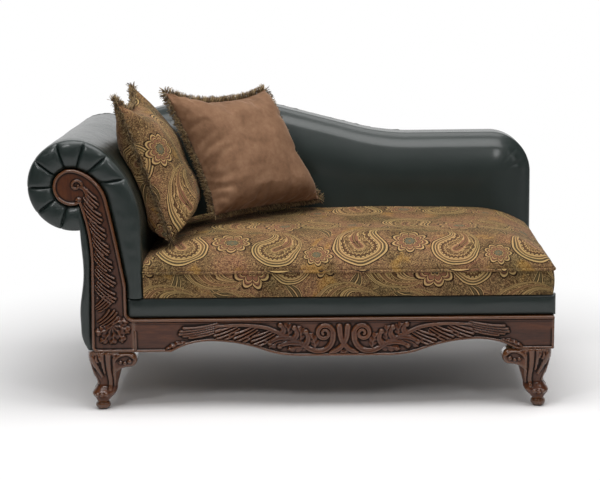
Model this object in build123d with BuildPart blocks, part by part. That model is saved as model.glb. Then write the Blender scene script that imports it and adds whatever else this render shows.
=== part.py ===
from build123d import *

import math
import os

# Chaise longue with one rolled arm, a low shaped back, a carved show-wood front and two loose pillows.
# Millimetres. X runs from the rolled arm to the foot end, Y from the front to the back, Z is up.
# The origin is on the floor, under the middle of the footprint.

os.makedirs("parts", exist_ok=True)

# Overall sizes
WIDTH = 1744.0
DEPTH = 880.0

# Heights, stacked from the floor
GLIDE_T = 3.0
LEG_HEIGHT = 203.0
PLATE_T = 3.0
RAIL_HEIGHT = 166.0
SPRING_WIRE = 4.0
DECK_T = 10.0
BOXING_HEIGHT = 85.0
SEAT_CROWN = 109.0
ARM_RISE = 338.0
BACK_RISE = 392.0
BACK_DROP = 131.0
APRON_HEIGHT = 112.0

# Layers from the front to the back
BEAD_PROUD = 6.0
CARVED_T = 34.0
BOARD_T = 28.0
REAR_COVER_T = 12.0
END_COVER_T = 14.0
BAND_SET_BACK = 12.0
BAND_EDGE_R = 9.0
WELT_D = 8.0

# Rolled arm
ARM_WIDTH = 374.0
ROLL_R = 152.0
ROLL_LEAVE_DEG = 48.0
ROLL_UNDER_DEG = 277.0
FLANK_INSET = 6.0
LEATHER_T = 3.0
ARM_PAD_T = 33.0
SLAT_WIDTH = 56.0
SLAT_T = 18.0
SLAT_ANGLES_DEG = (70.0, 130.0, 190.0)

# Puffed border round the scroll panel, with its sewn pleats
BORDER_EDGE_R = 24.0
BORDER_FOOT = 58.0
PLEAT_ANGLES_DEG = (8.0, 40.0, 72.0, 107.0, 143.0, 180.0, 216.0, 254.0)
PLEAT_WIDTH = 9.0
PLEAT_DEPTH = 7.0
PLEAT_MOUTH = 13.0
PLEAT_END_DEPTH = 25.0
PLEAT_RUN_OUT = 60.0

# Carved scroll panel
EYE_R = 60.0
EYE_DX = -5.0
EYE_DZ = -4.0
EYE_START_DEG = 75.0
EYE_NECK_DEG = -66.0
SCROLL_MARGIN = 90.0
SCROLL_TURN_DEG = 22.0
PANEL_SHIN = 224.0
PANEL_CALF = 294.0
PANEL_CALF_INSET = 46.0
PANEL_HEEL_INSET = 39.0
PANEL_HEEL_R = 20.0
PANEL_FOOT_REACH = 23.0
BEAD_WIDTH = 9.0
BOSS_R = 26.0
BOSS_TAPER_DEG = 40.0

# Low back
BACK_THICKNESS = 178.0
BACK_LEAN_DEG = 4.5
BACK_ROLL_R = 60.0
PEAK_FROM_ARM = 208.0
CREST_R = 900.0
CREST_REACH = 402.0
BACK_SLOPE_DEG = 14.8
HOLLOW_R = 803.0
BACK_END_R = 150.0
BACK_EDGE_R = 5.0
BACK_PAD_T = 70.0
TOP_RAIL_HEIGHT = 60.0
POST_WIDTH = 60.0
POST_LAP = 100.0

# Seat
SEAT_EDGE_R = 50.0
SEAT_END_R = 60.0
SEAT_EDGE_TURN_DEG = 60.0
SEAT_SINK = 68.0
SEAT_SINK_LENGTH = 340.0
WELT_CORNER_R = 14.0
SPRING_COUNT = 5
SPRING_BENDS = 8
SPRING_STRAIGHT = 8.0
SPRING_TAIL = 46.0
CLIP_WIDTH = 16.0
CLIP_LENGTH = 20.0
CLIP_WALL = 2.0

# Frame
BRACE_WIDTH = 40.0
BRACE_HEIGHT = 50.0
BRACE_LIFT = 40.0
BLOCK_LEG = 70.0
BLOCK_HEIGHT = 56.0
DUST_T = 1.5
DUST_LIFT = 36.0
DOWEL_D = 10.0
DOWEL_LENGTH = 48.0
DOWEL_SKIN = 8.0
DOWEL_PITCH = 80.0
LONG_RAIL_DOWEL_PITCH = 40.0

# Carved apron
APRON_FOOT_REACH = 35.0
APRON_END_GAP = 5.0
APRON_BLOCK = 125.0
ARCH_RISE = 35.0
ARCH_FROM_END = 253.0
ARCH_INNER_R = 520.0
ARCH_FLARE_R = 341.0
APRON_BELLY = 18.0
CARVING_T = 5.0
STEM_WIDTH = 9.0
SCROLL_BIG_R = 34.0
SCROLL_SMALL_R = 11.0
SCROLL_SPREAD = 62.0
LEAF_LENGTH = 76.0
LEAF_WIDTH = 26.0
LEAF_PITCH = 58.0
LEAF_COUNT = 4
LEAF_TILT_DEG = 24.0

# Legs
FOOT_FROM_FLANK = 65.0
FOOT_FROM_END = 53.0
FOOT_FROM_FRONT = 41.0
BUN_R = 25.0
BUN_SOLE_R = 18.0
BUN_HEIGHT = 30.0
EAR_REACH = 124.0
EAR_DROP = 62.0
EAR_ROOT = 58.0
EAR_LIP = 15.0
EAR_DEPTH = 58.0
LEG_CORNER_R = 14.0
# Swells and waists of a front leg, from the neck of its foot up to its knee:
# height, outer and inner reach along X, front and back reach along Y, from the middle of the foot
LEG_SECTIONS = (
    (30.0, 20.0, 20.0, 20.0, 20.0),
    (58.0, 34.0, 46.0, 34.0, 35.0),
    (85.0, 17.0, 51.0, 19.0, 38.0),
    (160.0, 37.0, 72.0, 37.0, 51.0),
)
LEG_TOP_REACH = (41.0, 80.0, 40.0, 55.0)
LEG_STEPS = 3
REAR_LEG_TOP = 62.0
REAR_LEG_TOE = 38.0
REAR_LEG_RAKE = 12.0
REAR_LEG_EDGE_R = 6.0
BOLT_D = 8.0
BOLT_LENGTH = 90.0
PLATE_LENGTH = 60.0
GLIDE_R = 15.0

# Loose pillows
PILLOW_DRAW_IN = 13.0
# Share of the seam's size, and share of the crown, from the seam to the middle of a pillow's face
CROWN_SHARES = ((1.0, 0.0), (0.9, 0.38), (0.7, 0.74), (0.42, 0.94), (0.12, 1.0))
FRINGE_LENGTH = 26.0
FRINGE_T = 10.0
PAISLEY_SIZE = 470.0
PAISLEY_SLUMP = 0.0
PAISLEY_FRONT_CROWN = 118.0
PAISLEY_BACK_CROWN = 44.0
PAISLEY_LEAN_DEG = 20.0
PAISLEY_FROM_FRONT = 345.0
PAISLEY_SETTLE = 34.3
BROWN_WIDTH = 438.0
BROWN_HEIGHT = 428.0
BROWN_SLUMP = 86.0
BROWN_FRONT_CROWN = 104.0
BROWN_BACK_CROWN = 56.0
BROWN_YAW_DEG = 40.0
BROWN_LEAN_DEG = 22.0
BROWN_FROM_PAISLEY = 192.0
BROWN_FROM_BACK = 173.0
BROWN_SETTLE = -2.4

# Clearances
SEAM = 0.4
FIT = 0.25
PILLOW_GAP = 0.8
# Closer than this, an edge lies on another piece
TOUCH = 0.5

# Places worked out from the sizes above
X_LEFT = -WIDTH / 2
X_RIGHT = WIDTH / 2
Y_FRONT = -DEPTH / 2
Y_REAR = DEPTH / 2
WOOD_FACE = Y_FRONT + BEAD_PROUD
FRAME_FRONT = WOOD_FACE + CARVED_T
FRAME_REAR = Y_REAR - REAR_COVER_T
INSIDE_FRONT = FRAME_FRONT + BOARD_T
INSIDE_REAR = FRAME_REAR - BOARD_T
FRAME_Z = LEG_HEIGHT + PLATE_T
RAIL_TOP = FRAME_Z + RAIL_HEIGHT
BAND_TOP = RAIL_TOP + SPRING_WIRE + DECK_T
WELT_Z = BAND_TOP + BOXING_HEIGHT
SEAT_TOP = WELT_Z + SEAT_CROWN
ARM_TOP = SEAT_TOP + ARM_RISE
BACK_PEAK = SEAT_TOP + BACK_RISE
BACK_LOW = BACK_PEAK - BACK_DROP
APRON_TOP = LEG_HEIGHT + APRON_HEIGHT

ARM_INNER_X = X_LEFT + ARM_WIDTH
ROLL_X = X_LEFT + ROLL_R
ROLL_Z = ARM_TOP - ROLL_R
LEAVE_X = ROLL_X + ROLL_R * math.cos(math.radians(ROLL_LEAVE_DEG))
LEAVE_Z = ROLL_Z + ROLL_R * math.sin(math.radians(ROLL_LEAVE_DEG))
SWELL_R = (ARM_INNER_X - LEAVE_X) / (1 - math.cos(math.radians(ROLL_LEAVE_DEG)))
SWELL_X = ARM_INNER_X - SWELL_R
SWELL_Z = LEAVE_Z - SWELL_R * math.sin(math.radians(ROLL_LEAVE_DEG))
FLANK_X = ROLL_X + FLANK_INSET
FLANK_TOP_X = ROLL_X + ROLL_R * math.cos(math.radians(ROLL_UNDER_DEG))
FLANK_TOP_Z = ROLL_Z + ROLL_R * math.sin(math.radians(ROLL_UNDER_DEG))
ARM_RUN_OUT = FRAME_Z - 2 * ARM_PAD_T
BOARD_X = ARM_INNER_X - ARM_PAD_T
RAIL_END_X = X_RIGHT - END_COVER_T
PANEL_FOOT_X = ARM_INNER_X - APRON_FOOT_REACH
BACK_FACE = Y_REAR - BACK_THICKNESS
SEAT_FRONT = Y_FRONT + WELT_D + SEAM
SEAT_END = X_RIGHT - WELT_D - SEAM
LEFT_RAIL_X = ARM_PAD_T + SEAM + FLANK_X + (FLANK_TOP_X - FLANK_X) * (RAIL_TOP - ARM_RUN_OUT) / (
    FLANK_TOP_Z - ARM_RUN_OUT
)
MIDDLE_X = (BOARD_X + RAIL_END_X) / 2
SPRING_PITCH = (RAIL_END_X - BOARD_T - BOARD_X) / SPRING_COUNT
LEFT_FOOT_X = FLANK_X + FOOT_FROM_FLANK
RIGHT_FOOT_X = X_RIGHT - FOOT_FROM_END
FRONT_FOOT_Y = Y_FRONT + FOOT_FROM_FRONT
REAR_BOLT_Y = FRAME_REAR - BOARD_T / 2
REAR_LEG_Y = FRAME_REAR - REAR_LEG_TOP / 2


def facing(y):
    """Drawing plane seen from the front: local x is X, local y is Z, and it extrudes towards the front."""
    return Plane.XZ.offset(-y)


def block(x_span, y_span, z_span, mode=Mode.ADD):
    """Square-edged board or block in the open part, given by its spans."""
    with Locations((x_span[0], y_span[0], z_span[0])):
        Box(
            x_span[1] - x_span[0],
            y_span[1] - y_span[0],
            z_span[1] - z_span[0],
            align=(Align.MIN, Align.MIN, Align.MIN),
            mode=mode,
        )


def save(piece, name):
    """Label a finished piece and write its file."""
    piece.label = name
    export_step(piece, f"parts/{name}.step")


def grown(template, amount):
    """Template outline moved outwards by an amount, or inwards if it is negative."""
    with BuildSketch() as moved:
        add(template.sketch)
        offset(amount=amount)
    return moved.sketch


# Templates, drawn flat with x as X and y as Z

# End section of the rolled arm, run on below the frame so that every layer is cut level there
with BuildSketch() as arm_template:
    with BuildLine():
        inner_face = Line((ARM_INNER_X, ARM_RUN_OUT), (ARM_INNER_X, SWELL_Z))
        swell = CenterArc((SWELL_X, SWELL_Z), SWELL_R, 0, ROLL_LEAVE_DEG)
        roll = CenterArc((ROLL_X, ROLL_Z), ROLL_R, ROLL_LEAVE_DEG, ROLL_UNDER_DEG - ROLL_LEAVE_DEG)
        flank = Line(roll @ 1, (FLANK_X, ARM_RUN_OUT))
        Line(flank @ 1, inner_face @ 0)
    make_face()

# Everything below the underside of the frame
with BuildSketch() as below_frame:
    with Locations((0, FRAME_Z)):
        Rectangle(2 * WIDTH, WIDTH, align=(Align.CENTER, Align.MAX))

# Space taken by the seat beside the arm, up to the top of the leather band
with BuildSketch() as beside_seat:
    with Locations((BOARD_X - BOARD_T, BAND_TOP)):
        Rectangle(WIDTH, WIDTH, align=(Align.MIN, Align.MAX))

# Scroll panel: a round eye with a long tapering stem that ends in a foot block
eye_x = ROLL_X + EYE_DX
eye_z = ROLL_Z + EYE_DZ
neck_angle = math.radians(EYE_NECK_DEG)
start_angle = math.radians(EYE_START_DEG)
turn_angle = math.radians(SCROLL_TURN_DEG)
scroll_start = Vector(eye_x + EYE_R * math.cos(start_angle), eye_z + EYE_R * math.sin(start_angle))
scroll_turn = Vector(
    SWELL_X + (SWELL_R - SCROLL_MARGIN) * math.cos(turn_angle),
    SWELL_Z + (SWELL_R - SCROLL_MARGIN) * math.sin(turn_angle),
)
scroll_neck = Vector(eye_x + EYE_R * math.cos(neck_angle), eye_z + EYE_R * math.sin(neck_angle))
shin_x = ARM_INNER_X - BORDER_FOOT
with BuildSketch() as panel_template:
    with BuildLine():
        shoulder = TangentArc(
            scroll_start, scroll_turn, tangent=(math.sin(start_angle), -math.cos(start_angle))
        )
        thigh = TangentArc(shoulder @ 1, (shin_x, FRAME_Z + PANEL_SHIN), tangent=shoulder % 1)
        shin = Line(thigh @ 1, (shin_x, APRON_TOP + PANEL_FOOT_REACH))
        instep = ThreePointArc(
            shin @ 1,
            (
                PANEL_FOOT_X - PANEL_FOOT_REACH * math.sin(math.radians(45)),
                APRON_TOP + PANEL_FOOT_REACH * (1 - math.cos(math.radians(45))),
            ),
            (PANEL_FOOT_X, APRON_TOP),
        )
        toe = Line(instep @ 1, (PANEL_FOOT_X, LEG_HEIGHT))
        sole = Line(toe @ 1, (FLANK_X + PANEL_HEEL_INSET + PANEL_HEEL_R, LEG_HEIGHT))
        heel = TangentArc(
            sole @ 1, (FLANK_X + PANEL_HEEL_INSET, LEG_HEIGHT + PANEL_HEEL_R), tangent=(-1, 0)
        )
        calf = Line(heel @ 1, (FLANK_X + PANEL_CALF_INSET, FRAME_Z + PANEL_CALF))
        nape = TangentArc(calf @ 1, scroll_neck, tangent=calf % 1)
        Line(nape @ 1, scroll_start)
    make_face()
    with Locations((eye_x, eye_z)):
        Circle(EYE_R)

# Back, as seen from the front, drawn on behind the arm and cut off there
slope = math.radians(BACK_SLOPE_DEG)
peak_x = ARM_INNER_X + PEAK_FROM_ARM
crest_span = math.degrees(math.asin(CREST_REACH / CREST_R))
fall =(BACK_DROP - (CREST_R + HOLLOW_R) * (1 - math.cos(slope))) / math.sin(slope)
with BuildSketch() as back_template:
    with BuildLine():
        crest = CenterArc(
            (peak_x, BACK_PEAK - CREST_R), CREST_R, 90 + crest_span, -crest_span - BACK_SLOPE_DEG
        )
        ramp = Line(crest @ 1, crest @ 1 + Vector(math.cos(slope), -math.sin(slope)) * fall)
        hollow = JernArc(ramp @ 1, ramp % 1, HOLLOW_R, BACK_SLOPE_DEG)
        level = Line(hollow @ 1, (X_RIGHT - BACK_END_R, BACK_LOW))
        end_turn = JernArc(level @ 1, (1, 0), BACK_END_R, -90)
        end_drop = Line(end_turn @ 1, (X_RIGHT, ARM_RUN_OUT))
        back_foot = Line(end_drop @ 1, ((crest @ 0).X, ARM_RUN_OUT))
        Line(back_foot @ 1, crest @ 0)
    make_face()

# Apron with a serpentine lower edge, drawn from its middle to one end and mirrored
apron_end = X_RIGHT - APRON_END_GAP
apron_middle = (PANEL_FOOT_X + apron_end) / 2
apron_half = (apron_end - PANEL_FOOT_X) / 2
arch_x = apron_middle + apron_half - ARCH_FROM_END
arch_z = LEG_HEIGHT + ARCH_RISE
belly_z = LEG_HEIGHT - APRON_BELLY
flare = math.degrees(math.acos(1 - (arch_z - belly_z) / (ARCH_INNER_R + ARCH_FLARE_R)))
with BuildSketch() as apron_template:
    with BuildLine():
        arch_inner = JernArc((arch_x, arch_z), (-1, 0), ARCH_INNER_R, flare)
        flare_out = JernArc(arch_inner @ 1, arch_inner % 1, ARCH_FLARE_R, -flare)
        Line(flare_out @ 1, (apron_middle, belly_z))
        arch_outer = TangentArc((arch_x, arch_z), (apron_end - APRON_BLOCK, LEG_HEIGHT), tangent=(1, 0))
        end_sole = Line(arch_outer @ 1, (apron_end, LEG_HEIGHT))
        end_face = Line(end_sole @ 1, (apron_end, APRON_TOP))
        half_top = Line(end_face @ 1, (apron_middle, APRON_TOP))
        Line(half_top @ 1, (apron_middle, belly_z))
    make_face()
    mirror(about=Plane.YZ.offset(apron_middle))

# Openings under the apron's arches, which the rail behind it leaves clear
with BuildSketch() as arch_openings:
    with Locations((apron_middle, FRAME_Z)):
        Rectangle(2 * (apron_half - APRON_BLOCK), ARCH_RISE, align=(Align.CENTER, Align.MIN))
    add(apron_template.sketch, mode=Mode.SUBTRACT)

# Wooden frame

# Dowels that join the rails, as (middle, direction)
dowel_seat = BOARD_T - DOWEL_SKIN
rail_middle = FRAME_Z + RAIL_HEIGHT / 2
dowel_places = []
for side in (-1, 1):
    for rail_y in (FRAME_FRONT + BOARD_T / 2, FRAME_REAR - BOARD_T / 2):
        dowel_places.append(((BOARD_X, rail_y, rail_middle + side * LONG_RAIL_DOWEL_PITCH / 2), (1, 0, 0)))
    height = rail_middle + side * DOWEL_PITCH / 2
    for rail_x in (
        RAIL_END_X - BOARD_T / 2,
        BOARD_X - BOARD_T / 2,
        LEFT_RAIL_X + BOARD_T / 2,
    ):
        dowel_places.append(((rail_x, INSIDE_FRONT - dowel_seat + DOWEL_LENGTH / 2, height), (0, 1, 0)))
        dowel_places.append(((rail_x, INSIDE_REAR + dowel_seat - DOWEL_LENGTH / 2, height), (0, 1, 0)))


def dowels(diameter):
    """All frame dowels at one diameter, for the pegs and for their holes."""
    with BuildPart() as pegs:
        for middle, direction in dowel_places:
            with Locations(Plane(origin=middle, z_dir=direction)):
                Cylinder(diameter / 2, DOWEL_LENGTH)
    return pegs.part


# Bolts that hold the legs, half in the leg and half in the frame
bolt_places = [
    (LEFT_FOOT_X, FRAME_FRONT + BOARD_T / 2, FRAME_Z),
    (RIGHT_FOOT_X, FRAME_FRONT + BOARD_T / 2, FRAME_Z),
    (LEFT_FOOT_X, REAR_BOLT_Y, FRAME_Z),
    (RIGHT_FOOT_X, REAR_BOLT_Y, FRAME_Z),
]


def bolts(diameter):
    """The four leg bolts at one diameter, for the bolts and for their holes."""
    with BuildPart() as rods:
        with Locations(*bolt_places):
            Cylinder(diameter / 2, BOLT_LENGTH)
    return rods.part


dowel_holes = dowels(DOWEL_D + 2 * FIT)
bolt_holes = bolts(BOLT_D + 2 * FIT)

with BuildPart() as front_rail:
    block((BOARD_X, RAIL_END_X), (FRAME_FRONT, INSIDE_FRONT), (FRAME_Z, RAIL_TOP))
    with BuildSketch(facing(INSIDE_FRONT)):
        add(arch_openings.sketch)
    extrude(amount=BOARD_T, mode=Mode.SUBTRACT)
    add(dowel_holes, mode=Mode.SUBTRACT)
    add(bolt_holes, mode=Mode.SUBTRACT)
save(front_rail.part, "front_rail")

with BuildPart() as back_rail:
    block((BOARD_X, RAIL_END_X), (INSIDE_REAR, FRAME_REAR), (FRAME_Z, RAIL_TOP))
    add(dowel_holes, mode=Mode.SUBTRACT)
    add(bolt_holes, mode=Mode.SUBTRACT)
save(back_rail.part, "back_rail")

cross_rail_places = {
    "right_end_rail": RAIL_END_X - BOARD_T,
    "arm_seat_rail": BOARD_X - BOARD_T,
    "left_end_rail": LEFT_RAIL_X,
}
for rail_name, rail_x in cross_rail_places.items():
    with BuildPart() as cross_rail:
        block((rail_x, rail_x + BOARD_T), (INSIDE_FRONT, INSIDE_REAR), (FRAME_Z, RAIL_TOP))
        add(dowel_holes, mode=Mode.SUBTRACT)
    save(cross_rail.part, rail_name)

with BuildPart() as frame_dowels:
    add(dowels(DOWEL_D))
save(frame_dowels.part, "frame_dowels")

with BuildPart() as center_brace:
    block(
        (MIDDLE_X - BRACE_WIDTH / 2, MIDDLE_X + BRACE_WIDTH / 2),
        (INSIDE_FRONT, INSIDE_REAR),
        (FRAME_Z + BRACE_LIFT, FRAME_Z + BRACE_LIFT + BRACE_HEIGHT),
    )
save(center_brace.part, "center_brace")

# Three-cornered glue blocks in the inner corners of the seat frame
with BuildPart() as corner_blocks:
    for corner_x, way_x in ((BOARD_X, 1), (RAIL_END_X - BOARD_T, -1)):
        for corner_y, way_y in ((INSIDE_FRONT, 1), (INSIDE_REAR, -1)):
            with BuildSketch(Plane.XY.offset(FRAME_Z + BRACE_LIFT)):
                with BuildLine():
                    Polyline(
                        (corner_x, corner_y),
                        (corner_x + way_x * BLOCK_LEG, corner_y),
                        (corner_x, corner_y + way_y * BLOCK_LEG),
                        close=True,
                    )
                make_face()
    extrude(amount=BLOCK_HEIGHT)
save(corner_blocks.part, "corner_blocks")

with BuildPart() as dust_cover:
    block(
        (BOARD_X + SEAM, RAIL_END_X - BOARD_T - SEAM),
        (INSIDE_FRONT + SEAM, INSIDE_REAR - SEAM),
        (FRAME_Z + DUST_LIFT, FRAME_Z + DUST_LIFT + DUST_T),
    )
save(dust_cover.part, "dust_cover")

# Rolled arm, from the inside out
with BuildSketch() as arm_board_shape:
    add(grown(arm_template, -ARM_PAD_T))
    add(below_frame.sketch, mode=Mode.SUBTRACT)

for board_name, board_y in (("arm_front_board", INSIDE_FRONT), ("arm_rear_board", FRAME_REAR)):
    with BuildPart() as arm_board:
        with BuildSketch(facing(board_y)):
            add(arm_board_shape.sketch)
        extrude(amount=BOARD_T)
        add(dowel_holes, mode=Mode.SUBTRACT)
        add(bolt_holes, mode=Mode.SUBTRACT)
    save(arm_board.part, board_name)

# Slats between the arm boards, tangent to the padding round the roll and to the inner face
slat_reach = math.sqrt((ROLL_R - ARM_PAD_T) ** 2 - (SLAT_WIDTH / 2) ** 2)
with BuildPart() as arm_slats:
    with BuildSketch(facing(INSIDE_REAR)):
        for angle in SLAT_ANGLES_DEG:
            slat_angle = math.radians(angle)
            with Locations(
                Location(
                    (
                        ROLL_X + (slat_reach - SLAT_T / 2) * math.cos(slat_angle),
                        ROLL_Z + (slat_reach - SLAT_T / 2) * math.sin(slat_angle),
                    ),
                    angle,
                )
            ):
                Rectangle(SLAT_T, SLAT_WIDTH)
        with Locations((BOARD_X, SWELL_Z)):
            Rectangle(SLAT_T, SLAT_WIDTH, align=(Align.MAX, Align.MAX))
    extrude(amount=INSIDE_REAR - INSIDE_FRONT)
save(arm_slats.part, "arm_slats")

with BuildPart() as arm_foam:
    with BuildSketch(facing(FRAME_REAR - SEAM)):
        add(grown(arm_template, -LEATHER_T - SEAM))
        add(grown(arm_template, -ARM_PAD_T + SEAM), mode=Mode.SUBTRACT)
        add(below_frame.sketch, mode=Mode.SUBTRACT)
        add(beside_seat.sketch, mode=Mode.SUBTRACT)
    extrude(amount=FRAME_REAR - FRAME_FRONT - 2 * SEAM)
save(arm_foam.part, "arm_foam")

with BuildPart() as arm_leather:
    with BuildSketch(facing(FRAME_REAR)):
        add(arm_template.sketch)
        add(grown(arm_template, -LEATHER_T), mode=Mode.SUBTRACT)
        add(below_frame.sketch, mode=Mode.SUBTRACT)
        add(beside_seat.sketch, mode=Mode.SUBTRACT)
    extrude(amount=FRAME_REAR - FRAME_FRONT)
save(arm_leather.part, "arm_leather")

with BuildPart() as arm_rear_cover:
    with BuildSketch(facing(Y_REAR)):
        add(arm_template.sketch)
        add(below_frame.sketch, mode=Mode.SUBTRACT)
    extrude(amount=REAR_COVER_T)
    fillet(arm_rear_cover.faces().sort_by(Axis.Y)[-1].edges(), radius=BACK_EDGE_R)
save(arm_rear_cover.part, "arm_rear_cover")

# Puffed border between the edge of the arm and the scroll panel
border_core = grown(arm_template, -1).face()


def on_arm_edge(edge):
    """True for a front edge that follows the outside of the arm."""
    middle = edge @ 0.5
    return border_core.distance_to(Vertex(middle.X, middle.Z, 0)) > TOUCH


def pleat_section(radius, angle, width, depth):
    """V-shaped cut through one pleat, square to its spoke, at a distance from the eye."""
    spoke = Vector(math.cos(angle), 0, math.sin(angle))
    across = Vector(-math.sin(angle), 0, math.cos(angle))
    middle = Vector(eye_x, Y_FRONT, eye_z) + spoke * radius
    with BuildSketch(Plane(origin=middle, x_dir=across, z_dir=spoke)) as section:
        with BuildLine():
            Polyline((-width / 2, SEAM), (width / 2, SEAM), (0, -depth), close=True)
        make_face()
    return section.sketch


with BuildPart() as arm_pleated_border:
    with BuildSketch(facing(FRAME_FRONT)):
        add(arm_template.sketch)
        add(grown(panel_template, SEAM), mode=Mode.SUBTRACT)
        add(below_frame.sketch, mode=Mode.SUBTRACT)
        add(beside_seat.sketch, mode=Mode.SUBTRACT)
    extrude(amount=FRAME_FRONT - Y_FRONT)
    border_face = arm_pleated_border.faces().sort_by(Axis.Y)[0]
    roll_edges = [edge for edge in border_face.edges() if on_arm_edge(edge)]
    fillet(roll_edges, radius=BORDER_EDGE_R)
    # Sewn pleats run out from the eye like spokes and deepen over the rounded edge
    for pleat_angle in PLEAT_ANGLES_DEG:
        spoke_angle = math.radians(pleat_angle)
        loft(
            [
                pleat_section(EYE_R - PLEAT_WIDTH, spoke_angle, PLEAT_WIDTH, PLEAT_DEPTH),
                pleat_section(ROLL_R + PLEAT_RUN_OUT, spoke_angle, PLEAT_MOUTH, PLEAT_END_DEPTH),
            ],
            ruled=True,
            mode=Mode.SUBTRACT,
        )
save(arm_pleated_border.part, "arm_pleated_border")

# Carved scroll panel with a raised bead round its edge and a turned boss in the eye
with BuildPart() as arm_scroll_panel:
    with BuildSketch(facing(FRAME_FRONT)):
        add(panel_template.sketch)
    extrude(amount=CARVED_T)
    with BuildSketch(facing(WOOD_FACE)):
        add(panel_template.sketch)
        add(grown(panel_template, -BEAD_WIDTH), mode=Mode.SUBTRACT)
    extrude(amount=BEAD_PROUD)
    with BuildSketch(facing(WOOD_FACE)):
        with Locations((eye_x, eye_z)):
            Circle(BOSS_R)
    extrude(amount=BEAD_PROUD, taper=BOSS_TAPER_DEG)
save(arm_scroll_panel.part, "arm_scroll_panel")

# Low back
arm_gap = grown(arm_template, SEAM)

with BuildSketch() as back_shape:
    add(back_template.sketch)
    add(arm_gap, mode=Mode.SUBTRACT)
    add(below_frame.sketch, mode=Mode.SUBTRACT)

with BuildSketch() as below_deck:
    with Locations((0, BAND_TOP + SEAM)):
        Rectangle(2 * WIDTH, WIDTH, align=(Align.CENTER, Align.MAX))

# Rail that follows the top of the back, inside its padding
with BuildPart() as back_top_rail:
    with BuildSketch(facing(INSIDE_REAR)):
        add(grown(back_template, -BACK_PAD_T))
        add(grown(back_template, -BACK_PAD_T - TOP_RAIL_HEIGHT), mode=Mode.SUBTRACT)
        add(grown(arm_template, 2 * SEAM), mode=Mode.SUBTRACT)
        add(below_deck.sketch, mode=Mode.SUBTRACT)
    extrude(amount=BOARD_T)
save(back_top_rail.part, "back_top_rail")

# Posts from the back rail up to the underside of that rail, one between each two seat springs
with BuildPart() as back_posts:
    with BuildSketch(facing(INSIDE_REAR)):
        for bay in range(1, SPRING_COUNT):
            with Locations((BOARD_X + bay * SPRING_PITCH, RAIL_TOP - POST_LAP)):
                Rectangle(POST_WIDTH, BACK_PEAK, align=(Align.CENTER, Align.MIN))
        add(grown(back_template, -BACK_PAD_T - TOP_RAIL_HEIGHT), mode=Mode.INTERSECT)
    extrude(amount=BOARD_T)
save(back_posts.part, "back_posts")

# Padding over the front and the top, hollow behind for the posts and the top rail
lean = math.radians(BACK_LEAN_DEG)
lean_plane = Plane(
    origin=(0, BACK_FACE, SEAT_TOP), x_dir=(1, 0, 0), z_dir=(0, -math.cos(lean), math.sin(lean))
)
with BuildPart() as back_pad:
    with BuildSketch(facing(FRAME_REAR)):
        add(back_shape.sketch)
        add(below_deck.sketch, mode=Mode.SUBTRACT)
    extrude(amount=BACK_THICKNESS)
    split(bisect_by=lean_plane, keep=Keep.BOTTOM)
    with BuildSketch(facing(FRAME_REAR)):
        add(grown(back_template, -BACK_PAD_T + SEAM))
        add(grown(arm_template, SEAM), mode=Mode.SUBTRACT)
        add(below_frame.sketch, mode=Mode.SUBTRACT)
    extrude(amount=FRAME_REAR - INSIDE_REAR + BOARD_T + SEAM, mode=Mode.SUBTRACT)
    pad_face = back_pad.faces().sort_by(Axis.Y)[0]
    arm_shape = arm_gap.face()
    top_edges = []
    for edge in pad_face.edges():
        middle = edge @ 0.5
        beside_arm = arm_shape.distance_to(Vertex(middle.X, middle.Z, 0)) < TOUCH
        if not beside_arm and middle.Z > BAND_TOP + TOUCH:
            top_edges.append(edge)
    fillet(top_edges, radius=BACK_ROLL_R)
save(back_pad.part, "back_pad")

with BuildPart() as outside_back:
    with BuildSketch(facing(Y_REAR)):
        add(back_shape.sketch)
    extrude(amount=REAR_COVER_T)
    rear_face = outside_back.faces().sort_by(Axis.Y)[-1]
    fillet(rear_face.edges(), radius=BACK_EDGE_R)
save(outside_back.part, "outside_back")

with BuildPart() as end_panel:
    block((RAIL_END_X, X_RIGHT), (FRAME_FRONT, FRAME_REAR), (FRAME_Z, BAND_TOP))
    fillet(end_panel.faces().sort_by(Axis.X)[-1].edges().filter_by(Axis.Y), radius=BACK_EDGE_R)
save(end_panel.part, "end_panel")

# Front
with BuildPart() as front_band:
    with BuildSketch(facing(FRAME_FRONT)):
        with Locations((shin_x, APRON_TOP)):
            Rectangle(X_RIGHT - shin_x, BAND_TOP - APRON_TOP, align=(Align.MIN, Align.MIN))
        add(grown(panel_template, SEAM), mode=Mode.SUBTRACT)
    extrude(amount=FRAME_FRONT - Y_FRONT - BAND_SET_BACK)
    band_edges = front_band.faces().sort_by(Axis.Y)[0].edges().filter_by(Axis.X)
    fillet(band_edges, radius=BAND_EDGE_R)
save(front_band.part, "front_band")

with BuildPart() as apron:
    with BuildSketch(facing(FRAME_FRONT)):
        add(apron_template.sketch)
    extrude(amount=CARVED_T)
    with BuildSketch(facing(WOOD_FACE)):
        with Locations((apron_middle, APRON_TOP)):
            Rectangle(2 * apron_half, BEAD_WIDTH, align=(Align.CENTER, Align.MAX))
    extrude(amount=BEAD_PROUD)
save(apron.part, "apron")

# Low relief on the apron: a pair of C-scrolls in the middle and a spray of leaves to each side
carving_z = (belly_z + APRON_TOP - BEAD_WIDTH) / 2


def leaf(x, z, tilt_deg):
    """Pointed leaf in the open sketch, with its stalk end at (x, z)."""
    with Locations(Location((x, z), tilt_deg)):
        add(leaf_shape.sketch)


with BuildSketch() as leaf_shape:
    with BuildLine():
        ThreePointArc((0, 0), (LEAF_LENGTH / 2, LEAF_WIDTH / 2), (LEAF_LENGTH, 0))
        ThreePointArc((0, 0), (LEAF_LENGTH / 2, -LEAF_WIDTH / 2), (LEAF_LENGTH, 0))
    make_face()

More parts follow.
